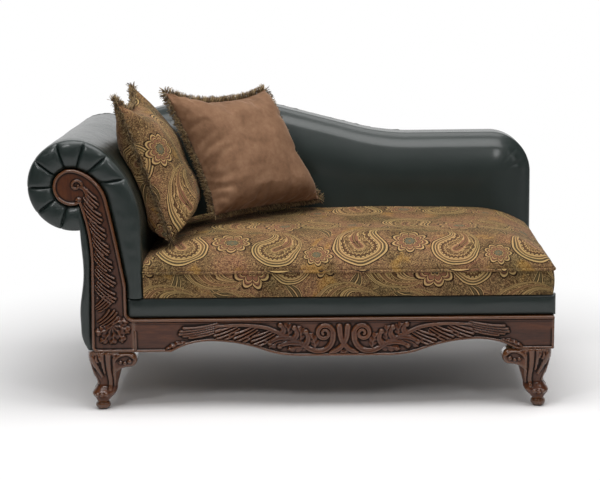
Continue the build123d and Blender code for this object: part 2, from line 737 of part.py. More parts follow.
with BuildPart() as apron_carving:
    with BuildSketch(facing(WOOD_FACE)):
        with BuildLine():
            scroll_back = (apron_middle + SCROLL_SPREAD, carving_z)
            upper_bow = JernArc(scroll_back, (0, 1), SCROLL_BIG_R, 120)
            JernArc(upper_bow @ 1, upper_bow % 1, SCROLL_SMALL_R, 230)
            lower_bow = JernArc(scroll_back, (0, -1), SCROLL_BIG_R, -120)
            JernArc(lower_bow @ 1, lower_bow % 1, SCROLL_SMALL_R, -230)
        trace(line_width=STEM_WIDTH)
        for place in range(LEAF_COUNT):
            tilt = LEAF_TILT_DEG if place % 2 else -LEAF_TILT_DEG
            leaf(apron_middle + SCROLL_SPREAD + STEM_WIDTH + place * LEAF_PITCH, carving_z, tilt)
        mirror(about=Plane.YZ.offset(apron_middle))
    extrude(amount=CARVING_T)
save(apron_carving.part, "apron_carving")

# Seat, from the springs up

spring_places = [BOARD_X + (bay + 0.5) * SPRING_PITCH for bay in range(SPRING_COUNT)]
spring_front = FRAME_FRONT + BOARD_T / 2
spring_rear = FRAME_REAR - BOARD_T / 2
bend_pitch = (spring_rear - spring_front - 2 * SPRING_TAIL) / SPRING_BENDS

# Each spring is one wire: a straight tail, bends from side to side, and another straight tail
with BuildPart() as seat_springs:
    with BuildSketch(Plane.XY.offset(RAIL_TOP)):
        for spring_x in spring_places:
            with BuildLine():
                first_y = spring_front + SPRING_TAIL
                Line((spring_x, spring_front), (spring_x, first_y))
                wire_end = Line((spring_x, first_y), (spring_x + SPRING_STRAIGHT, first_y)) @ 1
                side = 1
                for bend in range(SPRING_BENDS):
                    bend_y = first_y + bend * bend_pitch
                    bend_x = spring_x + side * SPRING_STRAIGHT
                    turned = ThreePointArc(
                        wire_end,
                        (bend_x + side * bend_pitch / 2, bend_y + bend_pitch / 2),
                        (bend_x, bend_y + bend_pitch),
                    )
                    last = bend == SPRING_BENDS - 1
                    next_x = spring_x if last else spring_x - side * SPRING_STRAIGHT
                    wire_end = Line(turned @ 1, (next_x, bend_y + bend_pitch)) @ 1
                    side = -side
                Line(wire_end, (spring_x, spring_rear))
            trace(line_width=SPRING_WIRE)
    extrude(amount=SPRING_WIRE)
save(seat_springs.part, "seat_springs")

with BuildPart() as spring_clips:
    for spring_x in spring_places:
        for clip_y in (spring_front, spring_rear):
            block(
                (spring_x - CLIP_WIDTH / 2, spring_x + CLIP_WIDTH / 2),
                (clip_y - CLIP_LENGTH / 2, clip_y + CLIP_LENGTH / 2),
                (RAIL_TOP, RAIL_TOP + SPRING_WIRE + FIT + CLIP_WALL),
            )
            block(
                (spring_x - SPRING_WIRE / 2 - FIT, spring_x + SPRING_WIRE / 2 + FIT),
                (clip_y - CLIP_LENGTH, clip_y + CLIP_LENGTH),
                (RAIL_TOP, RAIL_TOP + SPRING_WIRE + FIT),
                mode=Mode.SUBTRACT,
            )
save(spring_clips.part, "spring_clips")

with BuildPart() as seat_deck:
    block(
        (BOARD_X + SEAM, RAIL_END_X),
        (INSIDE_FRONT, INSIDE_REAR - BOARD_T - SEAM),
        (RAIL_TOP + SPRING_WIRE, BAND_TOP),
    )
save(seat_deck.part, "seat_deck")

# Crowned seat: one profile from front to back, and one from end to end
edge_turn = math.radians(SEAT_EDGE_TURN_DEG)


def crown_radius(edge_radius):
    """Radius of the flat upper sweep that carries a rounded edge up to the top of the seat."""
    return (SEAT_CROWN - edge_radius * math.sin(edge_turn)) / (1 - math.sin(edge_turn))


with BuildPart() as seat_cushion:
    with BuildSketch(Plane.YZ.offset(ARM_INNER_X + SEAM)):
        with BuildLine():
            front_wall = Line((SEAT_FRONT, BAND_TOP + SEAM), (SEAT_FRONT, WELT_Z))
            front_round = JernArc(front_wall @ 1, (0, 1), SEAT_EDGE_R, -SEAT_EDGE_TURN_DEG)
            front_sweep = JernArc(
                front_round @ 1, front_round % 1, crown_radius(SEAT_EDGE_R), SEAT_EDGE_TURN_DEG - 90
            )
            crown_top = Line(front_sweep @ 1, (Y_REAR, SEAT_TOP))
            rear_wall = Line(crown_top @ 1, (Y_REAR, BAND_TOP + SEAM))
            Line(rear_wall @ 1, front_wall @ 0)
        make_face()
    extrude(amount=SEAT_END - ARM_INNER_X - SEAM)
    with BuildSketch(facing(Y_REAR)):
        with BuildLine():
            end_wall = Line((SEAT_END, BAND_TOP + SEAM), (SEAT_END, WELT_Z))
            end_round = JernArc(end_wall @ 1, (0, 1), SEAT_END_R, SEAT_EDGE_TURN_DEG)
            end_sweep = JernArc(
                end_round @ 1, end_round % 1, crown_radius(SEAT_END_R), 90 - SEAT_EDGE_TURN_DEG
            )
            flat_top = Line(end_sweep @ 1, (ARM_INNER_X + SEAT_SINK_LENGTH, SEAT_TOP))
            sink = TangentArc(flat_top @ 1, (ARM_INNER_X + SEAM, SEAT_TOP - SEAT_SINK), tangent=(-1, 0))
            arm_wall = Line(sink @ 1, (ARM_INNER_X + SEAM, BAND_TOP + SEAM))
            Line(arm_wall @ 1, end_wall @ 0)
        make_face()
    extrude(amount=Y_REAR - SEAT_FRONT, mode=Mode.INTERSECT)
    split(bisect_by=lean_plane.offset(SEAM), keep=Keep.TOP)
    with BuildSketch(Plane.XY.offset(BAND_TOP)) as seat_plan:
        with Locations((ARM_INNER_X, SEAT_FRONT)):
            Rectangle(SEAT_END - ARM_INNER_X, Y_REAR - SEAT_FRONT, align=(Align.MIN, Align.MIN))
        fillet(seat_plan.vertices().group_by(Axis.X)[-1].sort_by(Axis.Y)[0], radius=WELT_CORNER_R)
    extrude(amount=SEAT_TOP, mode=Mode.INTERSECT)
save(seat_cushion.part, "seat_cushion")

# Piping along the top seam of the boxing, from the arm round the front corner to the back
welt_y = Y_FRONT + WELT_D / 2
welt_x = X_RIGHT - WELT_D / 2
welt_rear = BACK_FACE - (SEAT_TOP - WELT_Z + WELT_D) * math.tan(lean)
with BuildPart() as seat_welt:
    with BuildLine(Plane.XY.offset(WELT_Z)) as welt_path:
        FilletPolyline(
            (ARM_INNER_X + SEAM, welt_y),
            (welt_x, welt_y),
            (welt_x, welt_rear),
            radius=WELT_CORNER_R + SEAM + WELT_D / 2,
        )
    with BuildSketch(Plane.YZ.offset(ARM_INNER_X + SEAM)):
        with Locations((welt_y, WELT_Z)):
            Circle(WELT_D / 2)
    sweep(path=welt_path.line)
save(seat_welt.part, "seat_welt")

# Legs


def eased_sections():
    """Leg sections with steps between them that ease out of one swell or waist and into the next."""
    keys = LEG_SECTIONS + ((LEG_HEIGHT,) + LEG_TOP_REACH,)
    sections = []
    for lower, upper in zip(keys, keys[1:]):
        for step in range(LEG_STEPS):
            share = step / LEG_STEPS
            eased = share * share * (3 - 2 * share)
            height = lower[0] + share * (upper[0] - lower[0])
            reaches = [low + eased * (high - low) for low, high in zip(lower[1:], upper[1:])]
            sections.append((height, *reaches))
    sections.append(keys[-1])
    return sections


def cabriole_leg(foot_x, inward):
    """Carved front leg: bun foot, scrolled toe, knee and an ear that reaches inward under the apron."""
    with BuildPart() as leg:
        for height, outer, inner, front, back in eased_sections():
            middle = (foot_x + inward * (inner - outer) / 2, FRONT_FOOT_Y + (back - front) / 2)
            with BuildSketch(Plane.XY.offset(height)):
                with Locations(middle):
                    RectangleRounded(inner + outer, back + front, LEG_CORNER_R)
        loft(ruled=True)
        with BuildSketch(facing(FRONT_FOOT_Y - LEG_TOP_REACH[2] + EAR_DEPTH)):
            with BuildLine():
                ear_root_x = foot_x + inward * EAR_ROOT
                ear_tip_x = foot_x + inward * EAR_REACH
                ear_top = Line((ear_root_x, LEG_HEIGHT), (ear_tip_x, LEG_HEIGHT))
                ear_lip = Line(ear_top @ 1, (ear_tip_x, LEG_HEIGHT - EAR_LIP))
                ear_curl = TangentArc(ear_lip @ 1, (ear_root_x, LEG_HEIGHT - EAR_DROP), tangent=(0, -1))
                Line(ear_curl @ 1, ear_top @ 0)
            make_face()
        extrude(amount=EAR_DEPTH)
        with BuildSketch(Plane(origin=(foot_x, FRONT_FOOT_Y, 0), x_dir=(1, 0, 0), z_dir=(0, -1, 0))):
            with BuildLine():
                bun_sole = Line((0, GLIDE_T), (BUN_SOLE_R, GLIDE_T))
                bun_side = ThreePointArc(
                    bun_sole @ 1, (BUN_R, (GLIDE_T + BUN_HEIGHT) / 2), (LEG_SECTIONS[0][1], BUN_HEIGHT)
                )
                bun_neck = Line(bun_side @ 1, (0, BUN_HEIGHT))
                Line(bun_neck @ 1, bun_sole @ 0)
            make_face()
        revolve(axis=Axis((foot_x, FRONT_FOOT_Y, 0), (0, 0, 1)))
        add(bolt_holes, mode=Mode.SUBTRACT)
    return leg.part


def rear_leg(foot_x):
    """Plain tapered rear leg, raked towards the back."""
    with BuildPart() as leg:
        with BuildSketch(Plane.XY.offset(GLIDE_T)):
            with Locations((foot_x, REAR_LEG_Y + REAR_LEG_RAKE)):
                RectangleRounded(REAR_LEG_TOE, REAR_LEG_TOE, REAR_LEG_EDGE_R)
        with BuildSketch(Plane.XY.offset(LEG_HEIGHT)):
            with Locations((foot_x, REAR_LEG_Y)):
                RectangleRounded(REAR_LEG_TOP, REAR_LEG_TOP, REAR_LEG_EDGE_R)
        loft(ruled=True)
        add(bolt_holes, mode=Mode.SUBTRACT)
    return leg.part


save(cabriole_leg(LEFT_FOOT_X, 1), "leg_front_left")
save(cabriole_leg(RIGHT_FOOT_X, -1), "leg_front_right")
save(rear_leg(LEFT_FOOT_X), "leg_rear_left")
save(rear_leg(RIGHT_FOOT_X), "leg_rear_right")

with BuildPart() as leg_bolts:
    add(bolts(BOLT_D))
save(leg_bolts.part, "leg_bolts")

with BuildPart() as leg_plates:
    for bolt_x, bolt_y, bolt_z in bolt_places:
        block(
            (bolt_x - PLATE_LENGTH / 2, bolt_x + PLATE_LENGTH / 2),
            (bolt_y - BOARD_T / 2, bolt_y + BOARD_T / 2),
            (LEG_HEIGHT, FRAME_Z),
        )
    add(bolt_holes, mode=Mode.SUBTRACT)
save(leg_plates.part, "leg_plates")

with BuildPart() as leg_glides:
    for foot_x in (LEFT_FOOT_X, RIGHT_FOOT_X):
        for foot_y in (FRONT_FOOT_Y, REAR_LEG_Y + REAR_LEG_RAKE):
            with BuildSketch():
                with Locations((foot_x, foot_y)):
                    Circle(GLIDE_R)
    extrude(amount=GLIDE_T)
save(leg_glides.part, "leg_glides")

# Loose pillows


def pillow_section(plane, width, height, slump, draw_in):
    """Four-cornered outline on a plane, leaning sideways by slump, with sides drawn in."""
    corners = [
        Vector(-width / 2 + slump / 2, -height / 2),
        Vector(width / 2 + slump / 2, -height / 2),
        Vector(width / 2 - slump / 2, height / 2),
        Vector(-width / 2 - slump / 2, height / 2),
    ]
    with BuildSketch(plane) as section:
        with BuildLine():
            for start, end in zip(corners, corners[1:] + corners[:1]):
                middle = (start + end) / 2
                ThreePointArc(start, middle - middle.normalized() * draw_in, end)
        make_face()
    return section.sketch


def pillow_half(plane, width, height, slump, crown):
    """Crowned half of a pillow in the open part, on the side that the crown's sign gives."""
    sections = []
    for share, rise in CROWN_SHARES:
        level = plane.offset(rise * crown)
        sections.append(
            pillow_section(level, share * width, share * height, share * slump, share * PILLOW_DRAW_IN)
        )
    loft(sections)


# The patterned pillow leans on the inside of the arm
paisley_lean = math.radians(PAISLEY_LEAN_DEG)
paisley_normal = Vector(math.cos(paisley_lean), 0, math.sin(paisley_lean))
paisley_z = SEAT_TOP - PAISLEY_SETTLE + (PAISLEY_SIZE / 2 + FRINGE_LENGTH) * math.cos(paisley_lean)
paisley_reach = (
    Vector(SWELL_X, 0, SWELL_Z).dot(paisley_normal) + SWELL_R + PAISLEY_BACK_CROWN + PILLOW_GAP
)
paisley_x = (paisley_reach - paisley_z * paisley_normal.Z) / paisley_normal.X
paisley_plane = Plane(
    origin=(paisley_x, Y_FRONT + PAISLEY_FROM_FRONT, paisley_z), x_dir=(0, 1, 0), z_dir=paisley_normal
)

# The plain pillow stands across the corner between the other pillow and the back
brown_yaw = math.radians(BROWN_YAW_DEG)
brown_lean = math.radians(BROWN_LEAN_DEG)
brown_z = SEAT_TOP - BROWN_SETTLE + (BROWN_HEIGHT / 2 + FRINGE_LENGTH) * math.cos(brown_lean)
brown_plane = Plane(
    origin=(
        paisley_x + PAISLEY_FRONT_CROWN + BROWN_FROM_PAISLEY,
        BACK_FACE - BROWN_FROM_BACK,
        brown_z,
    ),
    x_dir=(math.cos(brown_yaw), math.sin(brown_yaw), 0),
    z_dir=(
        math.cos(brown_lean) * math.sin(brown_yaw),
        -math.cos(brown_lean) * math.cos(brown_yaw),
        math.sin(brown_lean),
    ),
)

pillows = {
    "pillow_paisley": (
        paisley_plane,
        PAISLEY_SIZE,
        PAISLEY_SIZE,
        PAISLEY_SLUMP,
        PAISLEY_FRONT_CROWN,
        PAISLEY_BACK_CROWN,
    ),
    "pillow_brown": (
        brown_plane,
        BROWN_WIDTH,
        BROWN_HEIGHT,
        BROWN_SLUMP,
        BROWN_FRONT_CROWN,
        BROWN_BACK_CROWN,
    ),
}
for pillow_name, (plane, width, height, slump, front_crown, back_crown) in pillows.items():
    with BuildPart() as pillow:
        pillow_half(plane, width, height, slump, front_crown)
        pillow_half(plane, width, height, slump, -back_crown)
    save(pillow.part, pillow_name)
    with BuildPart() as fringe:
        reach = 2 * FRINGE_LENGTH
        extrude(
            pillow_section(
                plane.offset(-FRINGE_T / 2), width + reach, height + reach, slump, PILLOW_DRAW_IN
            ),
            amount=FRINGE_T,
        )
        add(pillow.part, mode=Mode.SUBTRACT)
    save(fringe.part, pillow_name + "_fringe")
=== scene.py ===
import math
from dataclasses import dataclass

import bmesh
import bpy
import numpy as np
from mathutils import Matrix, Vector


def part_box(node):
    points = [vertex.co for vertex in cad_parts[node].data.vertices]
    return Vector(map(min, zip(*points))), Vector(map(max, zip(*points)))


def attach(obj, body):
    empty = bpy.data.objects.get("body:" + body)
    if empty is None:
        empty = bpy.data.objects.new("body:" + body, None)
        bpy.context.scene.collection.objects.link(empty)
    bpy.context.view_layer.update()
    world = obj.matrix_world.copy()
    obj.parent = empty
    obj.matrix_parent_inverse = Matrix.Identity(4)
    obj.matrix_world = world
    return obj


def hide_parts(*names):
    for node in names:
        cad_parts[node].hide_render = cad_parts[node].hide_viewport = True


# Looks of a chaise longue with a rolled arm, carved show-wood, a patterned seat and two fringed pillows.
# Metres. X runs from the rolled arm to the foot end, Y from the front to the back, Z is up.

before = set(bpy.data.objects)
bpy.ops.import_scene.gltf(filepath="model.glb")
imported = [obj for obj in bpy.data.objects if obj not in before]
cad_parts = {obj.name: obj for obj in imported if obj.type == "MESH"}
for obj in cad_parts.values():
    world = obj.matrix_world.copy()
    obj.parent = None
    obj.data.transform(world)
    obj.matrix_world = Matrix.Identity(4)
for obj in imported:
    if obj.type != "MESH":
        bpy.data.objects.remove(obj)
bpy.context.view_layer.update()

# Places read from the solids
ARM_LOW, ARM_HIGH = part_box("arm_leather")
BORDER_LOW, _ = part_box("arm_pleated_border")
PANEL_LOW, PANEL_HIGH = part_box("arm_scroll_panel")
APRON_LOW, APRON_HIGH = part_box("apron")
BAND_LOW, BAND_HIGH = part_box("front_band")
SEAT_LOW, SEAT_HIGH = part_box("seat_cushion")
WELT_LOW, WELT_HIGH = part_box("seat_welt")
BACK_LOW, BACK_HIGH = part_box("back_pad")
_, OUTSIDE_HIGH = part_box("outside_back")
END_LOW, END_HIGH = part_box("end_panel")

X_LEFT = ARM_LOW.x
X_RIGHT = BACK_HIGH.x
Y_FRONT = BORDER_LOW.y
Y_REAR = OUTSIDE_HIGH.y
FRAME_FRONT = ARM_LOW.y
FRAME_REAR = ARM_HIGH.y
FRAME_Z = ARM_LOW.z
ARM_INNER = ARM_HIGH.x
ARM_TOP = ARM_HIGH.z
SOLE_Z = PANEL_LOW.z
APRON_TOP = APRON_HIGH.z
BAND_TOP = BAND_HIGH.z
SEAT_TOP = SEAT_HIGH.z
WELT_Z = (WELT_LOW.z + WELT_HIGH.z) / 2
BACK_PEAK = BACK_HIGH.z

# Rolled arm
ROLL_R = 0.152
ROLL_LEAVE_DEG = 48.0
ROLL_UNDER_DEG = 277.0
FLANK_INSET = 0.006
FLANK_RUN_OUT_Z = 0.140
FLANK_TUCK = 0.022
FLANK_TUCK_HEIGHT = 0.066
FLANK_WAIST = 0.009
FLANK_WAIST_SHARE = 0.62
FLANK_BELLY = 0.004
FLANK_BELLY_Z = 0.150
FLANK_BELLY_SPREAD = 0.070
ARM_PADDING_INSET = 0.0055
ROLL = np.array((X_LEFT + ROLL_R, ARM_TOP - ROLL_R))

# Leather and padding
LEATHER_THICK = 0.003
BORDER_THICK = 0.0025
FOAM_THICK = 0.008
SEAM_WIDTH = 0.006
SEAM_SINK = 0.0035
PLATE_EDGE_R = 0.006
PLATE_SWELL = 0.002
PANEL_FULLNESS = 0.0035

# Scroll panel
EYE = ROLL + np.array((-0.005, -0.004))
EYE_R = 0.060
EYE_START_DEG = 75.0
EYE_NECK_DEG = -66.0
SCROLL_MARGIN = 0.090
SCROLL_TURN_DEG = 22.0
SHIN_X = BAND_LOW.x
SHIN_TOP_Z = FRAME_Z + 0.224
CALF_TOP_Z = FRAME_Z + 0.294
CALF_INSET = 0.046
HEEL_KICK = 0.007
HEEL_R = 0.020
INSTEP_R = 0.023
WOOD_RELIEF = 0.006
PANEL_GROUND = -0.0045
COVE_WIDTH = 0.029
COVE_LIP = 0.0010
COVE_DEPTH = 0.0022
WOOD_FACE = Y_FRONT + WOOD_RELIEF
BEAD_WIDTH = 0.010
QUIRK_DEPTH = 0.0015
CARVING_STEP = 0.0016

# Low back
BACK_FACE_Y = 0.262
BACK_LEAN_DEG = 4.5
BACK_ROLL_R = 0.060
BACK_CROWN = 0.009
BACK_FALL = 0.030
BACK_SWELL = 0.20
PEAK_X = ARM_INNER + 0.208
CREST_R = 0.900
CREST_REACH = 0.402
BACK_SLOPE_DEG = 14.8
BACK_DROP = 0.131
HOLLOW_R = 0.803
BACK_END_R = 0.150
BACK_END = np.array((X_RIGHT - BACK_END_R, BACK_PEAK - BACK_DROP - BACK_END_R))
GATHERS_DEG = (20.0, 44.0)
GATHER_WIDTH_DEG = 3.2
GATHER_DEPTH = 0.0035

# Seat
SEAT_EDGE_R = 0.050
SEAT_END_R = 0.060
SEAT_EDGE_TURN_DEG = 60.0
SEAT_SINK = 0.068
SEAT_SINK_LENGTH = 0.340
WELT_R = 0.0052
SEAT_CORNER_R = 0.014
BOXING_FULLNESS = 0.0045

# Apron
APRON_BLOCK = 0.125
ARCH_RISE = 0.035
ARCH_FROM_END = 0.253
ARCH_INNER_R = 0.520
ARCH_FLARE_R = 0.341

# Pleats sewn into the border, as angles round the eye
PLEAT_ANGLES_DEG = (8.0, 40.0, 72.0, 107.0, 143.0, 180.0, 216.0, 254.0)
PLEAT_CREASE = 0.0036
PLEAT_STEP = 0.0035
PLEAT_DRAW = 0.002


# Node trees


def add_node(self, kind, settings=None, inputs=None, output=0):
    """Method that adds a node to a tree: its settings first, then values or links for its sockets."""
    node = self.tree.nodes.new(kind)
    for name, value in (settings or {}).items():
        if name == "stops":
            ramp = node.color_ramp
            while len(ramp.elements) < len(value):
                ramp.elements.new(1.0)
            for element, (position, colour) in zip(ramp.elements, value):
                element.position = position
                element.color = (*colour, 1.0)
        elif name == "banding":
            node.color_ramp.interpolation = value
        else:
            setattr(node, name, value)
    for name, value in (inputs or {}).items():
        if isinstance(value, Field):
            self.tree.links.new(value.socket, node.inputs[name])
        else:
            node.inputs[name].default_value = value
    return Field(self.tree, node.outputs[output])


def math_method(operation, swapped=False, kind="ShaderNodeMath"):
    """Method that adds a Math node for its own field and the others that it is given."""

    def method(self, *others):
        values = (*others, self) if swapped else (self, *others)
        return self.node(kind, {"operation": operation}, dict(enumerate(values)))

    return method


class Field:
    """A node's output. Arithmetic on it adds Math nodes to its tree."""

    def __init__(self, tree, socket):
        self.tree = tree
        self.socket = socket

    node = add_node
    __add__ = math_method("ADD")
    __radd__ = math_method("ADD", swapped=True)
    __sub__ = math_method("SUBTRACT")
    __rsub__ = math_method("SUBTRACT", swapped=True)
    __mul__ = math_method("MULTIPLY")
    __rmul__ = math_method("MULTIPLY", swapped=True)
    __truediv__ = math_method("DIVIDE")
    __abs__ = math_method("ABSOLUTE")
    fract = math_method("FRACT")
    root = math_method("SQRT")
    sine = math_method("SINE")
    cosine = math_method("COSINE")
    lower = math_method("MINIMUM")
    higher = math_method("MAXIMUM")
    below = math_method("LESS_THAN")
    above = math_method("GREATER_THAN")
    # Angle of the point (x, field), given x
    angle = math_method("ARCTAN2")
    plus = math_method("ADD", kind="ShaderNodeVectorMath")
    minus = math_method("SUBTRACT", kind="ShaderNodeVectorMath")

    def scaled(self, scale):
        return self.node("ShaderNodeVectorMath", {"operation": "SCALE"}, {0: self, "Scale": scale})

    def part(self, axis):
        """One of the three numbers of a vector."""
        return self.node("ShaderNodeSeparateXYZ", inputs={"Vector": self}, output=axis)

    def window(self, low, high):
        """0 below low, 1 above high, eased between."""
        inputs = {"Value": self, "From Min": low, "From Max": high}
        return self.node("ShaderNodeMapRange", {"interpolation_type": "SMOOTHSTEP"}, inputs)


class Finish:
    """A procedural surface finish on a Principled shader."""

    node = add_node

    def __init__(self, name, **constants):
        self.material = bpy.data.materials.new(name)
        self.material.use_nodes = True
        self.tree = self.material.node_tree
        self.shader = self.tree.nodes["Principled BSDF"]
        for socket, value in constants.items():
            self.shader.inputs[socket.replace("_", " ")].default_value = value

    def feed(self, socket, field):
        self.tree.links.new(field.socket, self.shader.inputs[socket])

    def surface(self, colour, roughness, bump=None):
        """Feed the colour, the roughness and the bump, where there is one."""
        for socket, field in (("Base Color", colour), ("Roughness", roughness), ("Normal", bump)):
            if field:
                self.feed(socket, field)
        return self

    def place(self, scale=(1.0, 1.0, 1.0)):
        """Object coordinates, stretched by a scale."""
        where = self.node("ShaderNodeTexCoord", output="Object")
        return self.node("ShaderNodeMapping", inputs={"Vector": where, "Scale": scale})

    def cloth_place(self):
        """Coordinates along the cloth, in metres, as two fields and as one vector."""
        where = self.node("ShaderNodeUVMap", {"uv_map": "cloth"})
        return where.part(0), where.part(1), where

    def noise(self, where, scale, detail=3.0, roughness=0.5, distortion=0.0):
        grain = {"Scale": scale, "Detail": detail, "Roughness": roughness, "Distortion": distortion}
        return self.node("ShaderNodeTexNoise", inputs={"Vector": where, **grain})

    def cells(self, where, scale, feature="F1"):
        return self.node("ShaderNodeTexVoronoi", {"feature": feature}, {"Vector": where, "Scale": scale})

    def attribute(self, name):
        return self.node("ShaderNodeAttribute", {"attribute_name": name}, output="Fac")

    def ramp(self, field, stops, banding="LINEAR"):
        return self.node("ShaderNodeValToRGB", {"stops": stops, "banding": banding}, {0: field})

    def mix(self, share, first, second, blend="MIX"):
        """Colour between two colours, each a field or three numbers."""
        inputs = {0: share, 6: first, 7: second}
        for socket in (6, 7):
            if not isinstance(inputs[socket], Field):
                inputs[socket] = (*inputs[socket], 1.0)
        return self.node("ShaderNodeMix", {"data_type": "RGBA", "blend_type": blend}, inputs, output=2)

    def bump(self, height, distance, strength=1.0):
        inputs = {"Height": height, "Distance": distance, "Strength": strength}
        return self.node("ShaderNodeBump", inputs=inputs)


class Rule:
    """A Geometry Nodes tree with named inputs."""

    node = add_node

    def __init__(self, name):
        self.tree = bpy.data.node_groups.new(name, "GeometryNodeTree")
        for way in ("INPUT", "OUTPUT"):
            self.tree.interface.new_socket("Geometry", in_out=way, socket_type="NodeSocketGeometry")
        self.entry = self.tree.nodes.new("NodeGroupInput")
        self.exit = self.tree.nodes.new("NodeGroupOutput")
        self.values = {}

    def curve(self):
        """Edges of the base object as a curve."""
        base = Field(self.tree, self.entry.outputs[0])
        return self.node("GeometryNodeMeshToCurve", inputs={0: base})

    def size(self, name, value, kind="NodeSocketFloat"):
        socket = self.tree.interface.new_socket(name, in_out="INPUT", socket_type=kind)
        self.values[socket.identifier] = value
        return Field(self.tree, self.entry.outputs[name])

    def make(self, base, result, finish):
        """Run the rule on a base object, which becomes a smooth plain mesh with that finish."""
        smooth = self.node("GeometryNodeSetShadeSmooth", inputs={0: result})
        realized = self.node("GeometryNodeRealizeInstances", inputs={0: smooth})
        coat = {"Geometry": realized, "Material": finish.material}
        coated = self.node("GeometryNodeSetMaterial", inputs=coat)
        self.tree.links.new(coated.socket, self.exit.inputs[0])
        modifier = base.modifiers.new("rule", "NODES")
        modifier.node_group = self.tree
        for identifier, value in self.values.items():
            modifier[identifier] = value
        evaluated = base.evaluated_get(bpy.context.evaluated_depsgraph_get())
        mesh = bpy.data.meshes.new_from_object(evaluated)
        base.modifiers.clear()
        base.data = mesh
        return base


# Outlines, as points (x, z)


def direction(degrees):
    """Unit vector at an angle."""
    turn = math.radians(degrees)
    return np.array((math.cos(turn), math.sin(turn)))


def right_of(tangents):
    """Unit vectors to the right of tangents."""
    normal = np.column_stack((tangents[:, 1], -tangents[:, 0]))
    return normal / np.linalg.norm(normal, axis=1)[:, None]


def arc(centre, radius, start_deg, end_deg, count=40):
    turn = np.radians(np.linspace(start_deg, end_deg, count))
    return np.asarray(centre) + radius * np.column_stack((np.cos(turn), np.sin(turn)))


def tangent_arc(start, end, tangent, count=40):
    """Arc that leaves start along a tangent and reaches end."""
    start, end, tangent = (np.asarray(value, float) for value in (start, end, tangent))
    normal = np.array((-tangent[1], tangent[0])) / np.linalg.norm(tangent)
    chord = end - start
    radius = chord @ chord / (2 * chord @ normal)
    centre = start + radius * normal
    first, last = (math.degrees(math.atan2(*(point - centre)[::-1])) for point in (start, end))
    if radius > 0 and last < first:
        last += 360
    if radius < 0 and last > first:
        last -= 360
    return arc(centre, abs(radius), first, last, count)


def lengths(path):
    """Length of a path up to each of its points."""
    steps = np.linalg.norm(np.diff(path, axis=0), axis=1)
    return np.concatenate(([0.0], np.cumsum(steps)))


def at(path, reach):
    """Points of a path at given lengths along it."""
    run = lengths(path)
    return np.column_stack([np.interp(reach, run, path[:, axis]) for axis in range(path.shape[1])])


def even(path, spacing):
    """Path with evenly spaced points."""
    total = lengths(path)[-1]
    return at(path, np.linspace(0, total, max(2, round(total / spacing) + 1)))


def bezier(start, bend, end, count=48):
    t = np.linspace(0, 1, count)[:, None]
    start, bend, end = (np.asarray(value, float) for value in (start, bend, end))
    return (1 - t) ** 2 * start + 2 * t * (1 - t) * bend + t**2 * end


def flowing(points, count=24):
    """Smooth path through a few points."""
    points = np.asarray(points, float)
    padded = np.vstack((2 * points[0] - points[1], points, 2 * points[-1] - points[-2]))
    t = np.linspace(0, 1, count, endpoint=False)[:, None]
    spans = []
    for a, b, c, d in zip(padded, padded[1:], padded[2:], padded[3:]):
        square = (2 * a - 5 * b + 4 * c - d) * t**2
        cube = (3 * b - a - 3 * c + d) * t**3
        spans.append(0.5 * (2 * b + (c - a) * t + square + cube))
    return np.vstack((*spans, points[-1:]))


def volute(centre, radius, end_radius, start_deg, end_deg, count=70):
    """Spiral path from one radius to another."""
    share = np.linspace(0, 1, count)
    turn = np.radians(start_deg + share * (end_deg - start_deg))
    reach = radius + (end_radius - radius) * share
    return np.asarray(centre) + reach[:, None] * np.column_stack((np.cos(turn), np.sin(turn)))


def ease(low, high, value):
    """0 below low, 1 above high, eased between."""
    share = np.clip((value - low) / (high - low), 0, 1)
    return share * share * (3 - 2 * share)


def ripples(points, wavelength, seed, waves=24):
    """Smooth random heights, mostly between -1 and 1, over points."""
    random = np.random.default_rng(seed)
    directions = random.normal(size=(waves, points.shape[-1]))
    directions /= np.linalg.norm(directions, axis=1)[:, None]
    numbers = 2 * math.pi / (wavelength * random.uniform(0.7, 1.7, waves))
    phases = random.uniform(0, 2 * math.pi, waves)
    return np.sin(points @ (directions * numbers[:, None]).T + phases).sum(-1) / math.sqrt(2 * waves)


def round_over(depth, radius):
    """Height of a rounded edge at a distance in from it."""
    share = np.clip(depth / radius, 0, 1)
    return radius * np.sqrt(1 - (1 - share) ** 2)


def swell_arc():
    """Centre and radius of the swell between the roll and the inner face of the arm."""
    way = direction(ROLL_LEAVE_DEG)
    leave_point = ROLL + ROLL_R * way
    radius = (ARM_INNER - leave_point[0]) / (1 - way[0])
    return np.array((ARM_INNER - radius, leave_point[1] - radius * way[1])), radius


SWELL, SWELL_R = swell_arc()
EYE_NECK = EYE + EYE_R * direction(EYE_NECK_DEG)


def arm_outline(foot_z):
    """Outside of the arm from its inner face, over the roll and down the flank, and the flank's start."""
    roll = arc(ROLL, ROLL_R, ROLL_LEAVE_DEG, ROLL_UNDER_DEG, 120)
    under_x, under_z = roll[-1]
    heights = np.linspace(under_z, FRAME_Z, 60)[1:]
    above = heights - FRAME_Z
    share = (under_z - heights) / (under_z - FLANK_RUN_OUT_Z)
    flank_x = under_x + share * (ROLL[0] + FLANK_INSET - under_x)
    flank_x += FLANK_TUCK * np.clip(1 - above / FLANK_TUCK_HEIGHT, 0, 1) ** 2
    flank_x += FLANK_WAIST * np.sin(math.pi * np.clip(share / FLANK_WAIST_SHARE, 0, 1)) ** 2
    flank_x -= FLANK_BELLY * np.exp(-(((above - FLANK_BELLY_Z) / FLANK_BELLY_SPREAD) ** 2))
    swell = arc(SWELL, SWELL_R, 0, ROLL_LEAVE_DEG, 60)[:-1]
    upper = np.vstack(([(ARM_INNER, foot_z)], swell, roll))
    return np.vstack((upper, np.column_stack((flank_x, heights)))), lengths(upper)[-1]


